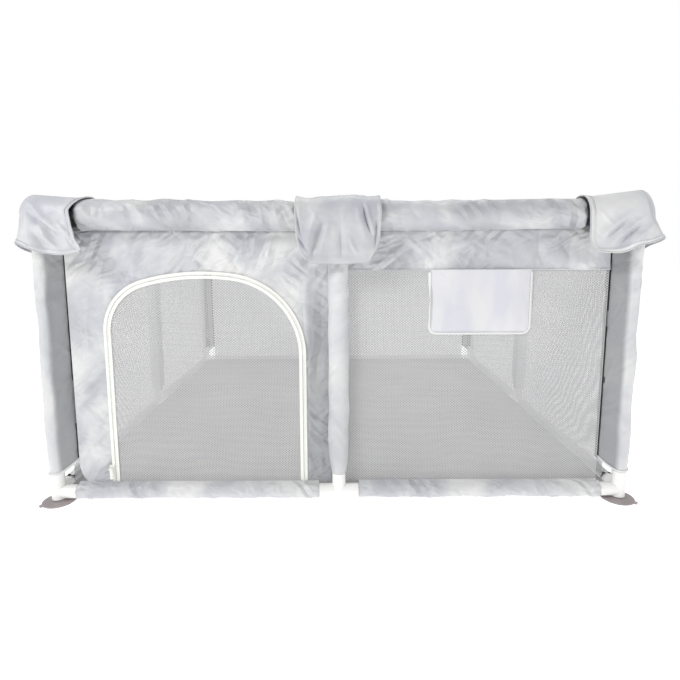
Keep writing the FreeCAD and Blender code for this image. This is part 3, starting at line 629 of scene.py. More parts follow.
def sleeve(name, profiles, step, length, along, to_world, lift_of, material):
    """Cloth along a tube. Each profile is a line across it; to_world(run, a, b) places its points."""
    points, faces, uv = [], [], []
    for profile in profiles:
        line = evened(profile, step)
        ahead = np.gradient(line, axis=0)
        ahead /= np.linalg.norm(ahead, axis=1)[:, None]
        outward = np.column_stack([ahead[:, 1], -ahead[:, 0]])
        run = np.linspace(0, length, along)
        across = np.arange(len(line)) * step
        v, u = [grid.ravel() for grid in np.meshgrid(across, run, indexing="ij")]
        held = np.clip(np.minimum(v, across[-1] - v) / 0.008, 0, 1)
        lift = lift_of(u, v, across[-1]) * (0.15 + 0.85 * held)
        flat = np.repeat(line, along, axis=0) + np.repeat(outward, along, axis=0) * lift[:, None]
        faces.extend(f[::-1] for f in lattice(len(line), along, len(points)))
        points.extend(to_world(u, *flat.T))
        uv.extend(np.column_stack([u, v]))
    return piece(name, points, faces, uv, material)


def along_rail(start, z, angle):
    """Places a sleeve's points along a side's rail: a is inwards and b is up."""
    return lambda run, a, b: turned(np.column_stack([start + run, a - POST, b + z]), angle)


def raised(x):
    """How far the top rails' covers stand up towards the corners."""
    return 0.0042 * np.clip((np.abs(x) - 0.05) / 0.5, 0, 1)


def pad_left(x, angle):
    """How much padding is left before its end at a side's corners; two opposite corners have bound caps."""
    first, last = PAD_ENDS if angle % 180 == 0 else PAD_ENDS[::-1]
    return POST - np.where(x < 0, first, last) - np.abs(x)


def padded_rail(start, angle):
    """Places a padded sleeve's points; by the corner the sleeve is gathered in under the cap."""

    def to_world(run, a, b):
        x = start + run
        full = np.clip((pad_left(x, angle) + 0.006) / 0.014, 0, 1)
        full = 0.62 + 0.38 * np.sqrt(1 - (1 - full) ** 2)
        hung = np.where(b < -SLEEVE_RADIUS * 0.75, 1.0, full)
        return turned(np.column_stack([x, a * hung - POST, b * hung + RAIL_TOP + raised(x)]), angle)

    return to_world


def folds(seed, area, sets, swell, size=0.08):
    """A lift function: sets of creases over an area, and low swells; sets are marks()'s later arguments."""
    lines = [marks(seed + n, count, spread or area, *rest) for n, (count, spread, *rest) in enumerate(sets)]
    lines = np.vstack(lines)
    return lambda u, v, *_: creased(u, v, lines) + waves(u, v, seed, size, swell)


def rail_sleeves():
    """The padded sleeves on the top rails and the plain ones on the low rails, two bays a side."""
    bays = [(n, side, angle, bay) for n, (side, angle) in enumerate(SIDES.items()) for bay in (1, 2)]
    start, end = 0.046, POST - 0.046
    length = end - start
    seam = (WALL_MIDDLE + POST, SEAM_TOP - RAIL_TOP - 0.0015)
    outline = drawn(SLEEVE_RADIUS - 0.001, seam)
    girth = 2 * math.pi * SLEEVE_RADIUS
    creases = [
        (60, None, 60, 0.040, 0.0042, 0.0026, 30),
        (36, None, 15, 0.060, 0.0070, 0.0026, 16),
        (36, (0, length, 0.62 * girth, 0.95 * girth), 30, 0.045, 0.0042, 0.0034, 18),
        (34, (0, 0.07, 0, girth), 5, 0.035, 0.0040, 0.0022, 18),
        (34, (length - 0.07, length, 0, girth), 5, 0.035, 0.0040, 0.0022, 18),
    ]
    for number, side, angle, bay in bays:
        lift = folds(100 + 20 * number + 7 * bay, (0, length, 0, girth), creases, 0.0011)
        to_world = padded_rail(-end if bay == 1 else start, angle)
        thing = sleeve(f"padded_sleeve_{side}_{bay}", [outline], 0.0032, length, 200, to_world, lift, SATIN)
        # painted shade: the gathered end under the cap, where the padding has ended, is near-black
        thing.data.materials.append(GAP_SHADE_SATIN)
        centres = turned([p.center for p in thing.data.polygons], -angle)
        for polygon, (x, _, z) in zip(thing.data.polygons, centres):
            polygon.material_index = int(pad_left(x, angle) < 0 and z > SEAM_TOP)
        x, _, z = turned(points_of(thing), -angle).T
        shaded(thing, 0.14 + waves(x, 3 * z, 60 + 2 * number + bay, 0.16, 0.11))
        if (side, bay) == ("front", 1):
            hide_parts("top_rail_sleeves", "rail_foam")
    reach = 0.044
    length = POST - 2 * reach
    outline = drawn(LOW_SLEEVE_RADIUS - 0.001, (WALL_MIDDLE + POST, SEAM_LOW - RAIL_LOW))
    girth = 2 * math.pi * LOW_SLEEVE_RADIUS + 0.01
    creases = [(90, None, 35, 0.030, 0.0026, 0.0024, 30), (60, None, 120, 0.028, 0.0026, 0.0020, 25)]
    for number, side, angle, bay in bays:
        plain = folds(300 + 20 * number + 7 * bay, (0, length, 0, girth), creases, 0.0007)
        corner_end = 0 if bay == 1 else length

        def lift(u, v, whole, plain=plain, corner_end=corner_end):
            near = np.exp(-np.abs(u - corner_end) / 0.016)
            gathers = np.sin(7 * 2 * math.pi * v / whole + 40 * u) + 0.6 * np.sin(4 * math.pi * v / whole)
            return plain(u, v) + 0.0022 * near * gathers

        to_world = along_rail(reach - POST if bay == 1 else reach, RAIL_LOW, angle)
        # painted light: the low sleeves seen from inside the pen get the lighter copy of the satin
        finish = SATIN if side == "front" else SATIN_LIT
        thing = sleeve(f"low_sleeve_{side}_{bay}", [outline], 0.0024, length, 190, to_world, lift, finish)
        if (side, bay) == ("front", 1):
            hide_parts("low_rail_sleeves")


def kite_lines():
    """A corner sleeve's cloth: from one wall's seam round the post to the other's, and the flat inner side."""
    first, second = np.array([KITE_FAR, KITE_NEAR]), np.array([KITE_NEAR, KITE_FAR])
    radius = CORNER_SLEEVE_RADIUS - SKIN
    spread = math.acos(radius / np.linalg.norm(first))
    begin = math.atan2(second[1], second[0]) + spread
    end = math.atan2(first[1], first[0]) - spread + 2 * math.pi
    wall = (POST - WALL_FAR, WALL_MIDDLE + POST)
    around = np.vstack([wall[::-1], second, arc((0, 0), radius, begin, end, 50), first, wall])
    return around, np.vstack([first, second])


def post_sleeves():
    """Cloth round the corner posts, drawn to the walls inside the corner, and round the middle posts."""
    foot, length = SLEEVE_FOOT, SLEEVE_HEAD - SLEEVE_FOOT + 0.008
    around, inner = kite_lines()
    step, girth = 0.003, 0.17
    creases = [(30, None, 12, 0.100, 0.0060, 0.0019, 16), (40, None, 50, 0.045, 0.0042, 0.0016, 28)]
    for number, (corner, angle) in enumerate(CORNERS.items()):
        lift = folds(500 + 10 * number, (0, length, 0, girth), creases, 0.0013, 0.11)

        def to_world(run, a, b, angle=angle):
            inwards = np.clip((a + b) / (KITE_FAR + KITE_NEAR), 0, 1)
            raised = 0.026 * inwards**1.4 * np.clip(1 - run / 0.14, 0, 1)
            return turned(np.column_stack([a - POST, b - POST, foot + run + raised]), angle)

        name = f"corner_post_sleeve_{corner}"
        thing = sleeve(name, [around, inner], step, length, 150, to_world, lift, SATIN_LIT)
        thing.data.materials.append(GAP_SHADE_SATIN)
        shade_flat_sides(thing, angle)
        line = evened(around, step)[4:-4]
        hem = to_world(np.full(len(line), 0.003), *line.T)
        rim = rope(f"corner_sleeve_hem_{corner}", hem, 0.0036, BINDING, flat=0.45)
        if corner == "front_left":
            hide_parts("corner_post_sleeves")
    radius = MID_SLEEVE_RADIUS - 0.0005
    ring = arc((0, 0), radius, math.pi / 2, 2.5 * math.pi, 60)
    girth = 2 * math.pi * radius
    creases = [(26, None, 8, 0.080, 0.0050, 0.0014, 14), (12, (0, 0.1, 0, girth), 20, 0.04, 0.004, 0.0016, 30)]
    for number, (side, angle) in enumerate(SIDES.items()):
        lift = folds(560 + 10 * number, (0, length, 0, girth), creases, 0.0008)

        def to_world(run, a, b, angle=angle):
            slack = 1 - 0.30 * np.clip(1 - run / 0.045, 0, 1) ** 1.3
            return turned(np.column_stack([a * slack, b * slack - POST, foot - 0.002 + run]), angle)

        thing = sleeve(f"middle_post_sleeve_{side}", [ring], 0.003, length, 150, to_world, lift, SATIN_LIT)
        shaded(thing, 0.26 * np.clip((0.40 - points_of(thing)[:, 2]) / 0.3, 0, 1))
        if side == "front":
            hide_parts("mid_post_sleeves")


def shade_flat_sides(thing, angle):
    """Darken a corner sleeve's flat sides with painted shade, as they turn from the light, and paint the strips
    beside the walls near-black as painted shade in the gaps.
    """
    mesh = thing.data
    reach = turned(points_of(thing), -angle)[:, :2].max(axis=1) + POST
    shaded(thing, 0.08 + 0.74 * np.clip((reach - 0.009) / 0.006, 0, 1))
    reach = turned([p.center for p in mesh.polygons], -angle)[:, :2].max(axis=1) + POST
    facing = turned([p.normal for p in mesh.polygons], -angle)
    shade_strip = np.where(facing[:, 0] * facing[:, 1] > 0.25, 0.0022, 0.0052)
    for polygon, dark in zip(mesh.polygons, reach > POST - WALL_FAR - shade_strip):
        polygon.material_index = int(dark)


# ---- the doorway's outline


def arch(offset, step, sill=SEAM_LOW):
    """The zip's line from the foot of its left leg over the crown to its right foot, moved out by offset."""
    centre = np.array([CROWN_MIDDLE, ZIP_TOP - CROWN_RADIUS])
    bends = []
    for x, radius, inward in ((ZIP_LEFT, LEFT_SHOULDER, 1), (ZIP_RIGHT, RIGHT_SHOULDER, -1)):
        across = x + inward * radius - centre[0]
        rise = math.sqrt((CROWN_RADIUS - radius) ** 2 - across**2)
        bends.append((centre + [across, rise], radius + offset, math.atan2(rise, across)))
    (left, left_radius, left_turn), (right, right_radius, right_turn) = bends
    line = [[ZIP_LEFT - offset, sill]]
    line.extend(arc(left, left_radius, math.pi, left_turn))
    line.extend(arc(centre, CROWN_RADIUS + offset, left_turn, right_turn))
    line.extend(arc(right, right_radius, right_turn, 0))
    line.append([ZIP_RIGHT + offset, sill])
    return evened(line, step)


# ---- walls, floor and pocket


def door_wall():
    """Solid cloth from post to post, cut a little large, so that it buckles between its seams and the zip."""
    left, right = -WALL_FAR, -WALL_NEAR + 0.004
    foot = SEAM_LOW - 0.003
    outline = [[left, SEAM_TOP], [left, foot + 0.036], [left + 0.007, foot + 0.015], [left + 0.018, foot]]
    outline += arch(0.006, 0.007, foot).tolist() + [[right, foot], [right, SEAM_TOP]]
    ring = evened(outline, 0.007, closed=True)
    flat, faces = cut_cloth(ring, 0.0068, 11)
    u, v = flat.T
    points = np.column_stack([u, np.full(len(u), WALL_FACE), v])
    thing = piece("door_wall", points, faces, flat, SATIN)
    edge = open_edge(thing)
    cut = points.copy()
    points[:, 1] += waves(u, v, 21, 0.05, 0.0012) * (1 - np.isin(np.arange(len(u)), edge))
    set_points(thing, points)
    middle_u, middle_v = (left + right) / 2, (SEAM_LOW + SEAM_TOP) / 2
    cut[:, 0] = middle_u + (u - middle_u) * 1.022 + 0.030 * (v - middle_v)
    cut[:, 2] = middle_v + (v - middle_v) * 1.014
    settle(thing, edge, cut)
    most = 0.011
    points = points_of(thing)
    points[:, 1] = WALL_FACE + most * np.tanh((points[:, 1] - WALL_FACE) / most)
    set_points(thing, points)
    smoothed(thing, 1)
    points = points_of(thing)
    across, _, up = points.T
    creases = [
        (170, None, 42, 0.034, 0.0028, 0.0024, 24),
        (110, None, 128, 0.030, 0.0026, 0.0020, 20),
        (50, (left, right, 0.49, SEAM_TOP), 32, 0.070, 0.0060, 0.0044, 14),
        (34, (-0.07, right, SEAM_LOW, 0.20), 45, 0.035, 0.0020, 0.0034, 8),
        (34, (-0.07, right, SEAM_LOW, 0.20), 135, 0.035, 0.0020, 0.0034, 8),
    ]
    lift = folds(31, (left, right, SEAM_LOW, SEAM_TOP), creases, 0.0)(across, up)
    gap = edge_distance(np.column_stack([across, up]), ring)
    points[:, 1] -= lift * np.clip(gap / 0.008, 0, 1)
    set_points(thing, points)
    across, _, up = raise_top(thing).T
    by_post = np.clip((across - ZIP_RIGHT - 0.004) / 0.012, 0, 1) * np.clip((0.53 - up) / 0.16, 0, 1)
    shaded(thing, 0.62 * by_post + 0.8 * seam_shade(SEAM_TOP - up))
    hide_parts("door_wall_front_left")


def open_edge(thing):
    """A mesh's vertices on open edges."""
    uses = collections.Counter(edge for polygon in thing.data.polygons for edge in polygon.edge_keys)
    return sorted({i for edge, count in uses.items() if count == 1 for i in edge})


def seam_shade(below):
    """How dark the cloth is this far below the seam under the rail's padding."""
    return np.exp(-((below / 0.0035) ** 2))


def raise_top(thing, angle=0):
    """Lift the upper part of a wall's cloth with the rail above it; gives its points in the front's place."""
    points = turned(points_of(thing), -angle)
    stand = raised(points[:, 0]) * np.clip((points[:, 2] - RISE_FROM) / (SEAM_TOP - RISE_FROM), 0, 1)
    moved = points_of(thing)
    moved[:, 2] += stand
    set_points(thing, moved)
    points[:, 2] += stand
    return points


def hung_grid(name, u, v, depth, material, angle=0):
    """A sheet in the plane of a side's wall, over the given places along and up, pushed inwards by depth."""
    across, up = [a.ravel() for a in np.meshgrid(u, v, indexing="ij")]
    points = np.column_stack([across, WALL_MIDDLE + depth(across, up), up])
    return piece(name, turned(points, angle), lattice(len(u), len(v)), np.column_stack([across, up]), material)


def window_bays():
    """A cloth band under the rail and netting below it, in every bay without a door."""
    near, far = WALL_NEAR - 0.004, WALL_FAR
    ways = [(side, bay, ends) for side in SIDES for bay, ends in enumerate(((-far, -near), (near, far)), start=1)]
    for number, (side, bay, (start, end)) in enumerate(way for way in ways if way[:2] != ("front", 1)):
        angle, seed = SIDES[side], 700 + 10 * number
        by_cap = sorted((math.copysign(near, start), math.copysign(near + 0.12, start)))
        creases = [
            (60, None, 62, 0.032, 0.0040, 0.0030, 28),
            (44, None, 125, 0.026, 0.0034, 0.0026, 24),
            (20, (start, end, SEAM_TOP - 0.02, SEAM_TOP), 20, 0.050, 0.0050, 0.0034, 16),
            (16, (*by_cap, BAND_LOW, SEAM_TOP), 130 if start > 0 else 50, 0.060, 0.0036, 0.0048, 12),
        ]
        lift = folds(seed, (start, end, BAND_LOW, SEAM_TOP), creases, 0.0022, 0.09)

        def depth(u, v, lift=lift):
            free = np.clip((SEAM_TOP - v) / 0.02, 0, 1) * (0.45 + 0.55 * np.clip((v - BAND_LOW) / 0.012, 0, 1))
            return -0.0030 - lift(u, v) * free

        u = np.linspace(start, end, 210)
        band = hung_grid(f"band_{side}_{bay}", u, np.linspace(BAND_LOW, SEAM_TOP, 40), depth, SATIN, angle)
        x, _, z = raise_top(band, angle).T
        shaded(band, 0.7 * seam_shade(SEAM_TOP - z + raised(x)))

        def sag(u, v, seed=seed, start=start, end=end):
            edge = np.minimum(np.minimum(u - start, end - u), np.minimum(v - SEAM_LOW, BAND_LOW + 0.01 - v))
            slack = waves(u, v, seed + 5, 0.22, 0.0035, 8) + waves(u, v, seed + 6, 0.05, 0.0005)
            return slack * np.clip(edge / 0.05, 0, 1)

        v = np.linspace(SEAM_LOW - 0.004, BAND_LOW + 0.006, 60)
        net = NET if side == "front" else NET_BACK
        window = hung_grid(f"netting_{side}_{bay}", np.linspace(start, end, 70), v, sag, net, angle)
        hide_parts("mesh_wall_front_right" if side == "front" else f"mesh_walls_{side}")
        hem_line = [(x, WALL_MIDDLE - 0.0036, BAND_LOW + 0.002) for x in u]
        hem = rope(f"band_hem_{side}_{bay}", turned(hem_line, angle), 0.0015, SATIN, flat=0.55)


def floor_sheet():
    """The pen's floor: woven cloth hung between the low rails, lying slack in shallow folds."""
    level = high("floor_sheet")[2]
    half = high("floor_sheet")[0] + 0.001
    count = 150
    u = np.linspace(-half, half, count)
    across, up = [a.ravel() for a in np.meshgrid(u, u, indexing="ij")]
    edge = np.minimum(half - np.abs(across), half - np.abs(up))
    creases = [(60, None, 45, 0.22, 0.012, 0.0035, 40), (50, None, 120, 0.16, 0.010, 0.003, 40)]
    slack = folds(901, (-half, half, -half, half), creases, 0.0012, 0.25)
    z = level + (RAIL_LOW + 0.004 - level) * np.exp(-edge / 0.016) + slack(across, up) * np.clip(edge / 0.05, 0, 1)
    flat = np.column_stack([across, up])
    points = np.column_stack([flat, np.maximum(z, 0.003)])
    thing = piece("floor_cloth", points, lattice(count, count), flat, FLOOR_CLOTH)
    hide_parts("floor_sheet")


def toy_pocket():
    """Thin white cloth on the front right netting, bound along its sides and foot, slack in front."""
    (left, back, foot), (right, _, top) = low("toy_pocket"), high("toy_pocket")
    corners = [[left, foot], [right, foot], [right, top + 0.004], [left, top + 0.004]]
    bend = 0.017
    ring = rounded_ring(corners, [bend, bend, 0.001, 0.001], 0.0055)
    flat, faces = cut_cloth(ring, 0.0055, 71)
    u, v = flat.T
    side_gap = np.minimum(np.minimum(u - left, right - u), v - foot)
    puff = 0.0085 * (1 - np.exp(-np.clip(side_gap, 0, 1) / 0.022))
    creases = [(26, None, 88, 0.05, 0.006, 0.0012, 10), (26, None, 30, 0.03, 0.004, 0.0008, 40)]
    lift = folds(72, (left, right, foot, top), creases, 0.0)(u, v) * np.clip(edge_distance(flat, ring) / 0.01, 0, 1)
    y = np.maximum(WALL_FACE - 0.0012 - puff - lift, back - 0.002)
    thing = piece("pocket", np.column_stack([u, y, v]), faces, flat, POCKET)
    smoothed(thing, 1)
    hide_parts("toy_pocket")
    first = arc((left + bend, foot + bend), bend, math.pi, 1.5 * math.pi, 9)
    second = arc((right - bend, foot + bend), bend, 1.5 * math.pi, 2 * math.pi, 9)
    rim = evened(np.vstack([[left, top], [left, foot + bend], first, second, [right, top]]), 0.004)
    line = np.column_stack([rim[:, 0], np.full(len(rim), WALL_FACE - 0.0022), rim[:, 1]])
    binding = rope("pocket_binding", line, 0.0034, BINDING, sides=10, flat=0.5)


def folds_down(thing):
    """Bake a door piece's transform into its points."""
    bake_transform(thing)


def on_zip(line, y):
    """Points on a line in the plane of the door, at a depth."""
    return np.column_stack([line[:, 0], np.full(len(line), y), line[:, 1]])


def door():
    """The netting door, which folds down about its lower seam."""
    outline = arch(-TAPE_HALF + 0.003, 0.0065, SEAM_LOW - 0.002)
    ring = evened(outline, 0.0065, closed=True)
    flat, faces = cut_cloth(ring, 0.0085, 81)
    u, v = flat.T
    free = np.clip(edge_distance(flat, ring) / 0.05, 0, 1)
    y = DOOR_MIDDLE + 0.0004 + waves(u, v, 83, 0.2, 0.0028, 8) * free
    net = piece("door_netting", np.column_stack([u, y, v]), faces, flat, NET, body=None)
    smoothed(net, 1)
    folds_down(net)
    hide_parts("door_mesh")


def on_half(thing):
    """A piece of the zip that doesn't ride on the pen is on the door; bake its transform into its points."""
    if "rides" not in thing:
        folds_down(thing)


def zip_tape(part, sign, body):
    """The tape of one half of the zip, inside or outside the line of its teeth."""
    inner, outer = sorted((0.0008 * sign, (TAPE_HALF - 0.0012) * sign))
    offsets = np.linspace(inner, outer, 7)
    lines = [arch(offset, 0.004) for offset in offsets]
    count = min(len(line) for line in lines)
    rise = 0.0012 * np.exp(-(((np.abs(offsets) - 0.0008) / 0.0022) ** 2))
    picked = [line[np.linspace(0, len(line) - 1, count).round().astype(int)] for line in lines]
    points = np.vstack([on_zip(line, DOOR_FACE - lift) for line, lift in zip(picked, rise)])
    uv = [(run, offset) for offset in offsets for run in np.linspace(0, 1.25, count)]
    faces = [f[::-1] for f in lattice(len(offsets), count)]
    tape = piece(f"zip_tape_{part}_cloth", points, faces, uv, TAPE, body)
    smoothed(tape, 0, 0.0008)
    on_half(tape)
    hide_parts(f"zip_tape_{part}")


def zip_teeth(part, sign, body):
    """Every other moulded tooth along the zip's line, those of one half."""
    line = arch(0, 0.0032)
    ahead = np.gradient(line, axis=0)
    ahead /= np.linalg.norm(ahead, axis=1)[:, None]
    outward = np.column_stack([-ahead[:, 1], ahead[:, 0]]) * sign
    corners = ((-0.0009, -0.0002), (0.0009, -0.0002), (0.0012, 0.0030), (-0.0012, 0.0030))
    parts, mine = [], slice(0 if sign > 0 else 1, None, 2)
    for spot, way, out in zip(line[mine], ahead[mine], outward[mine]):
        points = []
        for depth, scale in ((0.0002, 1.0), (-0.0014, 1.0), (-0.0020, 0.7)):
            for a, b in corners:
                x, z = spot + way * a * scale + out * (0.0014 + (b - 0.0014) * scale)
                points.append((x, DOOR_FACE + depth, z))
        parts.append((points, shell(3) if sign > 0 else [f[::-1] for f in shell(3)]))
    teeth = merged(f"zip_teeth_{part}", parts, TEETH, body)
    teeth.data.polygons.foreach_set("use_smooth", [False] * len(teeth.data.polygons))
    on_half(teeth)


def zip_stitches(part, sign, body):
    """The stitches that hold one half's tape."""
    line = on_zip(arch(0.0062 * sign, 0.0045), DOOR_FACE + 0.0001)
    row = stitches(f"zip_stitches_{part}", line, np.tile([0.0, -1.0, 0.0], (len(line), 1)), WHITE_THREAD, body)
    on_half(row)


ZIP_HALVES = {"wall": (1, "pen"), "door": (-1, None)}


# ---- caps


def welded(points, faces, uv):
    """Join points that lie in one place, and drop the faces that this closes up."""
    _, first, back = np.unique(np.round(points, 6), axis=0, return_index=True, return_inverse=True)
    back = back.ravel()
    joined = [list(dict.fromkeys(back[list(face)].tolist())) for face in faces]
    return points[first], [face for face in joined if len(face) > 2], uv[first]


def corner_cap(name, style, seed):
    """A cap over the front left corner: a skirt inside the rails, and outside a longer one with a flared tip.

    Its columns run along the front rail to the corner, round it, and along the left rail; its rows run from the
    inner hem over the rails to the outer hem. Lengths are measured from the post's axis, heights from the rails'.
    """
    radius, arm, fan, skirt, quarter = CAP_RADIUS - SKIN, 44, 26, 0.033, math.pi / 2
    share = np.concatenate([np.linspace(1, 0, arm), np.zeros(fan), np.linspace(0, 1, arm)])
    turn = np.concatenate([np.zeros(arm), np.linspace(0, 1, fan + 2)[1:-1], np.ones(arm)])
    count = len(share)
    out = -np.column_stack([np.sin(turn * quarter), np.cos(turn * quarter)])
    along = np.column_stack([turn < 0.5, turn >= 0.5]).astype(float)
    tip = np.sin(math.pi * turn) ** 2
    peak = tip**0.6
    drop = np.interp(share, *np.transpose(style["hem"])) - style["tip_rise"] * tip
    drop = np.convolve(np.pad(drop, 5, mode="edge"), np.full(11, 1 / 11), mode="valid")
    profile = [(-drop.min(), radius + style["flare"]), style["shoulder"], (radius + style["hoist"], 0)]
    mirrored = np.array(style["folds"]) * [-1, 1, -1, 1, 1, 0.8, -1]
    small = marks(seed, 46, (-0.14, 0.14, 0.0, 0.13), 40, 0.026, 0.0030, 0.0013, 40)
    lines = np.vstack([style["folds"], mirrored, small])
    steps = [(True, d, quarter) for d in np.linspace(skirt, 0, 12)[:-1]]
    steps += [(True, 0, a) for a in np.linspace(quarter, 0, 18)[:-1]]
    steps += [(False, 0, a) for a in np.linspace(0, quarter, 24)]
    steps += [(False, d, quarter) for d in np.linspace(0, 1, 28)[1:]]
    spots, ways, flat, gap = [], [], [], []
    for within, fallen, bend in steps:
        sine, cosine = math.sin(bend), math.cos(bend)
        if within:
            away, reach = radius * sine, style["edge"][0][1]
            base = along * (away + (reach - away) * share)[:, None] + (1 - along) * away
            spot = np.column_stack([base, np.full(count, radius * cosine - fallen)])
            way = np.column_stack([(1 - along) * sine, np.full(count, cosine)])
            run = np.full(count, -(radius * bend + fallen))
            edge = np.minimum(skirt - fallen, reach * (1 - share) + (share == 0))
            place, free = 1 - 2 * along[:, 1], np.minimum(1, share / 0.2) * 0.3
        else:
            run = radius * bend + fallen * drop
            reach = np.interp(run, *np.transpose(style["edge"]))
            if fallen > style["round_from"]:
                bow = (fallen - style["round_from"]) / (1 - style["round_from"])
                reach = reach - style["rounding"] * (1 - math.sqrt(max(0.0, 1 - bow**2)))
            flare = fallen**1.1 * (0.002 * np.exp(-share * reach / 0.035) + style["flare"] * peak)
            base = along * (reach * share)[:, None] + out * (radius * sine + flare)[:, None]
            spot = np.column_stack([base, radius * cosine - fallen * drop])
            way = np.column_stack([out * sine, np.full(count, cosine)])
            edge = np.minimum(drop * (1 - fallen), reach * (1 - share) + (share == 0))
            edge = np.minimum(edge, 1.0 if fallen else 0.5)
            place, free = 1 - 2 * turn, min(1.0, bend / 0.4) * (1 - 0.85 * tip)
        spot[:, 2] += style["hoist"] * (1 - share) * cosine**1.5
        place = reach * share * (1 - 2 * along[:, 1]) + radius * math.pi / 4 * place
        lift = creased(place, run, lines) + waves(place, run, seed, 0.06, 0.0008, 8)
        spot += way * (lift * free + 0.0050 * share**8 * (0.5 + 0.5 * sine))[:, None]
        if not within:
            drawn_in = np.interp(spot[:, 2], *np.transpose(profile)) - radius * sine - style["flare"] * fallen**1.1
            spot[:, :2] += out * (drawn_in * peak)[:, None]
        spots.append(spot)
        ways.append(way)
        flat.append(np.column_stack([place, run]))
        gap.append(np.broadcast_to(edge, count))
    grid, ways, bound = np.array(spots), np.array(ways), np.array(gap) < style["bound"]
    grid += ways * (0.0010 * bound)[:, :, None] + [-POST, -POST, RAIL_TOP]
    points, faces, uv = welded(grid.reshape(-1, 3), lattice(len(grid), count), np.vstack(flat))
    cap = piece(name, points, faces, uv, SATIN_CORNER, body=None)
    cap.data.materials.append(BINDING)
    edging = {tuple(np.round(p, 6)) for p, b in zip(grid.reshape(-1, 3), bound.ravel()) if b}
    held = np.array([tuple(np.round(p, 6)) in edging for p in points])
    for polygon in cap.data.polygons:
        polygon.material_index = int(held[list(polygon.vertices)].all())
    return cap, *edges_of(grid, ways, 12, len(grid) - 4, 4, 0.0009)


def edges_of(grid, ways, first, last, near, raise_by):
    """A cap's outline, the line of its stitches a few rows and columns inside it, and the way up at each stitch."""

    def inset(rows):
        return np.vstack([rows[first:last, near], rows[last, near:-near], rows[last:first:-1, -near - 1]])

    rim = np.vstack([grid[-1], grid[::-1, -1], grid[0, ::-1], grid[:, 0]])
    return rim, inset(grid) + inset(ways) * raise_by, inset(ways)


def middle_cap(name, seed):
    """A strip of lined satin over the rail in the middle of a side, its front hanging as a flap cut in below."""
    half = high("mid_cap_flap_front")[0] - 0.002
    radius = CAP_RADIUS - SKIN
    quarter = math.pi / 2 * radius
    inner_end = low("mid_cap_saddle_front")[2] - RAIL_TOP - quarter
    outer_end = quarter + RAIL_TOP - low("mid_cap_flap_front")[2]
    s = np.concatenate([np.linspace(inner_end, -quarter, 14)[:-1], np.linspace(-quarter, outer_end, 66)])
    share = np.linspace(-1, 1, 78)
    cut_in = [(inner_end, 1.0), (0.0, 0.95), (0.05, 0.97), (0.10, 0.94), (0.128, 0.86), (outer_end, 0.70)]
    width = half * np.interp(s, *np.transpose(cut_in))
    run, across = [a.ravel() for a in np.meshgrid(s, share, indexing="ij")]
    x = across * np.repeat(width, len(share))
    run = run - 0.004 * across**2 * np.clip(run / outer_end, 0, 1) ** 3
    bent = np.clip(run, -quarter, quarter) / radius
    hang = np.abs(run) - np.minimum(np.abs(run), quarter)
    normal = np.column_stack([np.zeros(len(x)), -np.sin(bent), np.cos(bent)])
    points = np.column_stack([x, -POST - radius * np.sin(bent), RAIL_TOP + radius * np.cos(bent) - hang])
    lines = np.vstack([MIDDLE_FOLDS, marks(seed, 60, (-half, half, -0.05, outer_end), 95, 0.030, 0.0028, 0.0013, 22)])
    hump = 0.0045 * np.exp(-(((x - 0.022) / 0.045) ** 2)) * np.clip(np.cos(bent), 0, 1)
    lift = creased(x, run, lines) + 0.0030 * np.abs(across) ** 8 + hump + waves(x, run * 0.4, seed, 0.05, 0.0010)
    lift = np.maximum(lift, -0.0060) + 0.0008 * (outer_end - run < 0.015)
    points += normal * (lift + 0.0045 * np.clip(run / 0.06, 0.2, 1))[:, None]
    cap = piece(name, points, lattice(len(s), len(share)), np.column_stack([x, run]), SATIN_CAP, body=None)
    grid, ways = points.reshape(len(s), len(share), 3), normal.reshape(len(s), len(share), 3)
    return cap, *edges_of(grid, ways, 6, len(s) - 9, 5, 0.0007)


def trimmed(name, made, angle, piping):
    """Turn a cap to its place, roll and stitch its edge and give it its thickness."""
    cap, *lines = made
    set_points(cap, turned(points_of(cap), angle))
    rim, inset, up = (turned(line, angle) for line in lines)
    edge = rope(f"{name}_edge", evened(rim, 0.004, closed=True), piping, SATIN_CAP, body=None, closed=True)
    row = stitches(f"{name}_stitches", inset, up, THREAD, body=None)
    smoothed(cap, 0, 0.0012)
    return cap, edge, row


# folds are (along, down, direction in radians, half length, half width, lift, bow), in metres from the corner
PLAIN_CAP = {
    "hoist": 0.009,
    "shoulder": (0.0303, 0.0163),
    "flare": 0.0028,
    "tip_rise": 0.012,
    "hem": [(0, 0.062), (0.2, 0.071), (0.6, 0.077), (0.9, 0.072), (1, 0.070)],
    "edge": [(0, 0.113), (0.025, 0.098), (0.045, 0.086), (0.075, 0.090), (0.103, 0.098), (0.130, 0.110)],
    "round_from": 0.9,
    "rounding": 0.004,
    "bound": 0.003,
    "folds": [
        (0.066, 0.064, 0.69, 0.060, 0.0090, 0.0090, 0.10),
        (0.062, 0.077, 0.69, 0.056, 0.0060, -0.0112, 0.10),
        (0.068, 0.098, 0.95, 0.042, 0.0060, 0.0105, 0.10),
        (0.050, 0.107, 0.95, 0.040, 0.0090, -0.0105, 0.05),
        (0.108, 0.088, 0.75, 0.040, 0.0045, 0.0057, 0.05),
        (0.120, 0.106, 1.00, 0.022, 0.0030, 0.0060, 0.05),
        (0.112, 0.110, 1.05, 0.024, 0.0028, -0.0053, 0.05),
    ],
}
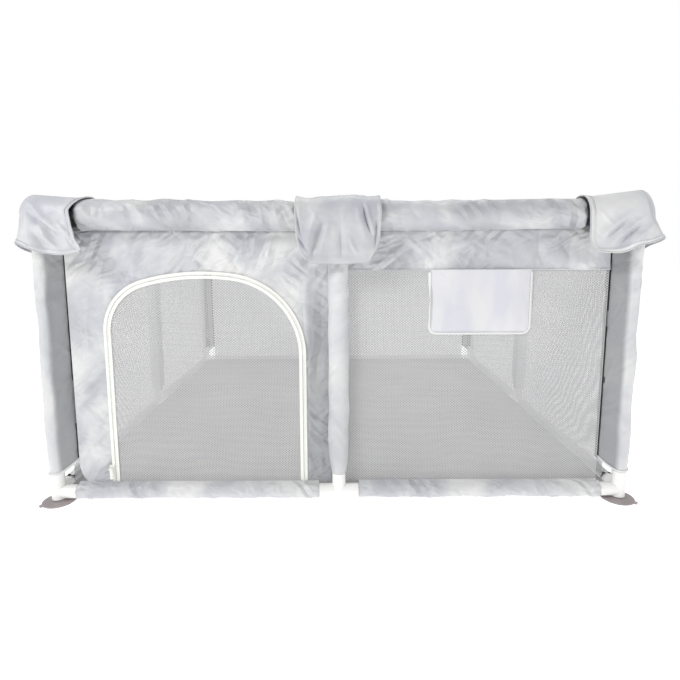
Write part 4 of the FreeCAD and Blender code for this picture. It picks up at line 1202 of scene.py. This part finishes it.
BOUND_CAP = {
    "hoist": 0.015,
    "shoulder": (0.0208, 0.0188),
    "flare": 0.0122,
    "tip_rise": 0.014,
    "hem": [(0, 0.058), (0.14, 0.060), (0.55, 0.076), (0.85, 0.075), (1, 0.075)],
    "edge": [(0, 0.120), (0.08, 0.117), (0.135, 0.116)],
    "round_from": 0.55,
    "rounding": 0.034,
    "bound": 0.0075,
    "folds": [
        (0.100, 0.080, 0.70, 0.050, 0.0060, 0.0067, 0.10),
        (0.086, 0.084, 0.70, 0.050, 0.0055, -0.0077, 0.10),
        (0.070, 0.086, 0.70, 0.052, 0.0055, 0.0080, 0.10),
        (0.058, 0.094, 0.72, 0.048, 0.0065, -0.0104, 0.10),
        (0.042, 0.098, 0.80, 0.044, 0.0050, 0.0072, 0.10),
        (0.112, 0.062, 2.30, 0.030, 0.0040, 0.0048, 0.05),
    ],
}
MIDDLE_FOLDS = [
    (-0.042, 0.100, 1.90, 0.050, 0.0060, -0.0128, 0.05),
    (-0.056, 0.094, 1.86, 0.050, 0.0080, 0.0080, 0.05),
    (-0.028, 0.104, 1.88, 0.046, 0.0070, 0.0064, 0.05),
    (0.006, 0.108, 1.56, 0.040, 0.0070, -0.0064, 0.00),
    (0.056, 0.066, 1.30, 0.036, 0.0022, -0.0136, 0.08),
    (0.062, 0.064, 1.30, 0.040, 0.0050, 0.0080, 0.08),
    (0.046, 0.074, 1.30, 0.044, 0.0070, 0.0067, 0.08),
    (0.076, 0.090, 1.62, 0.045, 0.0028, -0.0080, 0.00),
    (-0.080, 0.070, 1.40, 0.040, 0.0026, -0.0072, 0.10),
    (-0.072, 0.112, 1.00, 0.022, 0.0024, -0.0080, 0.10),
    (0.030, 0.118, 1.10, 0.026, 0.0040, 0.0042, 0.10),
]


def caps():
    """The eight caps: two opposite corners' are plain, the others' have a wide bound edge."""
    for number, (corner, angle) in enumerate(CORNERS.items()):
        made = corner_cap(f"corner_cap_cloth_{corner}", (PLAIN_CAP, BOUND_CAP)[number % 2], 41 + number)
        cap, edge, row = trimmed(f"corner_cap_{corner}", made, angle, 0.0015)
        for thing in (cap, edge, row):
            thing["rides"] = "pen"
        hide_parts(f"corner_cap_{corner}")
    for side, angle in SIDES.items():
        things = trimmed(f"middle_cap_{side}", middle_cap(f"middle_cap_cloth_{side}", 51), angle, 0.0011)
        for thing in things:
            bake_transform(thing)
        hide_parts(f"mid_cap_saddle_{side}", f"mid_cap_flap_{side}")


def repaint():
    """Give every CAD node that is shown its own finish."""
    plastic = ("low_corner_connector", "low_tee", "top_corner_connectors", "top_tees", "rail_foam")
    finishes = dict.fromkeys(("low_rails", "top_rails", "corner_post_", "mid_post_"), TUBE)
    finishes |= {**dict.fromkeys(plastic, PLASTIC), "suction_foot": RUBBER, "zip_slider": TEETH, "zip_pull": TEETH}
    for name, node in frame["nodes"].items():
        for start, finish in finishes.items():
            if name.startswith(start):
                for slot in node.material_slots:
                    slot.material = finish


# ---- the studio


FLOOR_HALF = 9.0
WORLD_LIGHT = 0.42
LAMPS = (
    ("key", (-2.2, -2.6, 2.6), (0, -0.4, 0.3), 1.1, 62),
    ("fill", (2.6, -1.6, 1.2), (0, 0, 0.3), 1.6, 12),
    ("top", (0.2, 0.8, 3.0), (0, 0, 0), 2.0, 30),
)


def set_up_stage():
    """A wide white floor in a white surround, a soft key light from the upper left and a camera at the door side."""
    scene = bpy.context.scene
    scene.view_settings.view_transform = "Standard"
    corners = FLOOR_HALF * np.array([(-1, -1, 0), (1, -1, 0), (1, 1, 0), (-1, 1, 0)])
    ground = piece("studio_floor", corners, [range(4)], body=None)
    shade = Shader("studio_floor", (0.95, 0.95, 0.95), 0.9, Emission_Color=(1, 1, 1, 1), Emission_Strength=0.62)
    clouds = shade.noise(shade.place(), 0.6)
    ground.data.materials.append(shade.finish(shade.tinted(clouds, (0.945, 0.945, 0.945), (0.955, 0.955, 0.955))))
    scene.world = bpy.data.worlds.new("surround")
    scene.world.use_nodes = True
    tree = scene.world.node_tree
    surround = tree.nodes["Background"]
    surround.inputs["Color"].default_value = (1, 1, 1, 1)
    seen = tree.nodes.new("ShaderNodeLightPath").outputs["Is Camera Ray"]
    strength = tree.nodes.new("ShaderNodeMapRange")
    strength.inputs["To Min"].default_value = WORLD_LIGHT
    strength.inputs["To Max"].default_value = 1.0
    tree.links.new(seen, strength.inputs["Value"])
    tree.links.new(strength.outputs["Result"], surround.inputs["Strength"])
    for name, place, aim, size, power in LAMPS:
        lamp = linked(name, bpy.data.lights.new(name, "AREA"))
        lamp.data.size, lamp.data.energy = size, power
        lamp.location = place
        lamp.rotation_euler = (Vector(aim) - Vector(place)).to_track_quat("-Z", "Y").to_euler()
    camera = linked("camera", bpy.data.cameras.new("camera"))
    camera.data.sensor_width, camera.data.lens, camera.data.shift_y = 36.0, 26.19, -0.0488
    camera.location = (-0.0007, -1.6501, 0.5661)
    camera.rotation_euler = [math.radians(turn) for turn in (90 - 7.523, 0.185, -0.260)]
    scene.camera = camera


set_up_stage()
rail_sleeves()
post_sleeves()
door_wall()
window_bays()
floor_sheet()
toy_pocket()
door()
for make, parts in ((zip_tape, ("door", "wall")), (zip_teeth, ("wall", "door")), (zip_stitches, ("wall", "door"))):
    for part in parts:
        make(part, *ZIP_HALVES[part])
caps()
repaint()
for thing in list(bpy.data.objects):
    if "rides" in thing:
        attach(thing, thing["rides"])
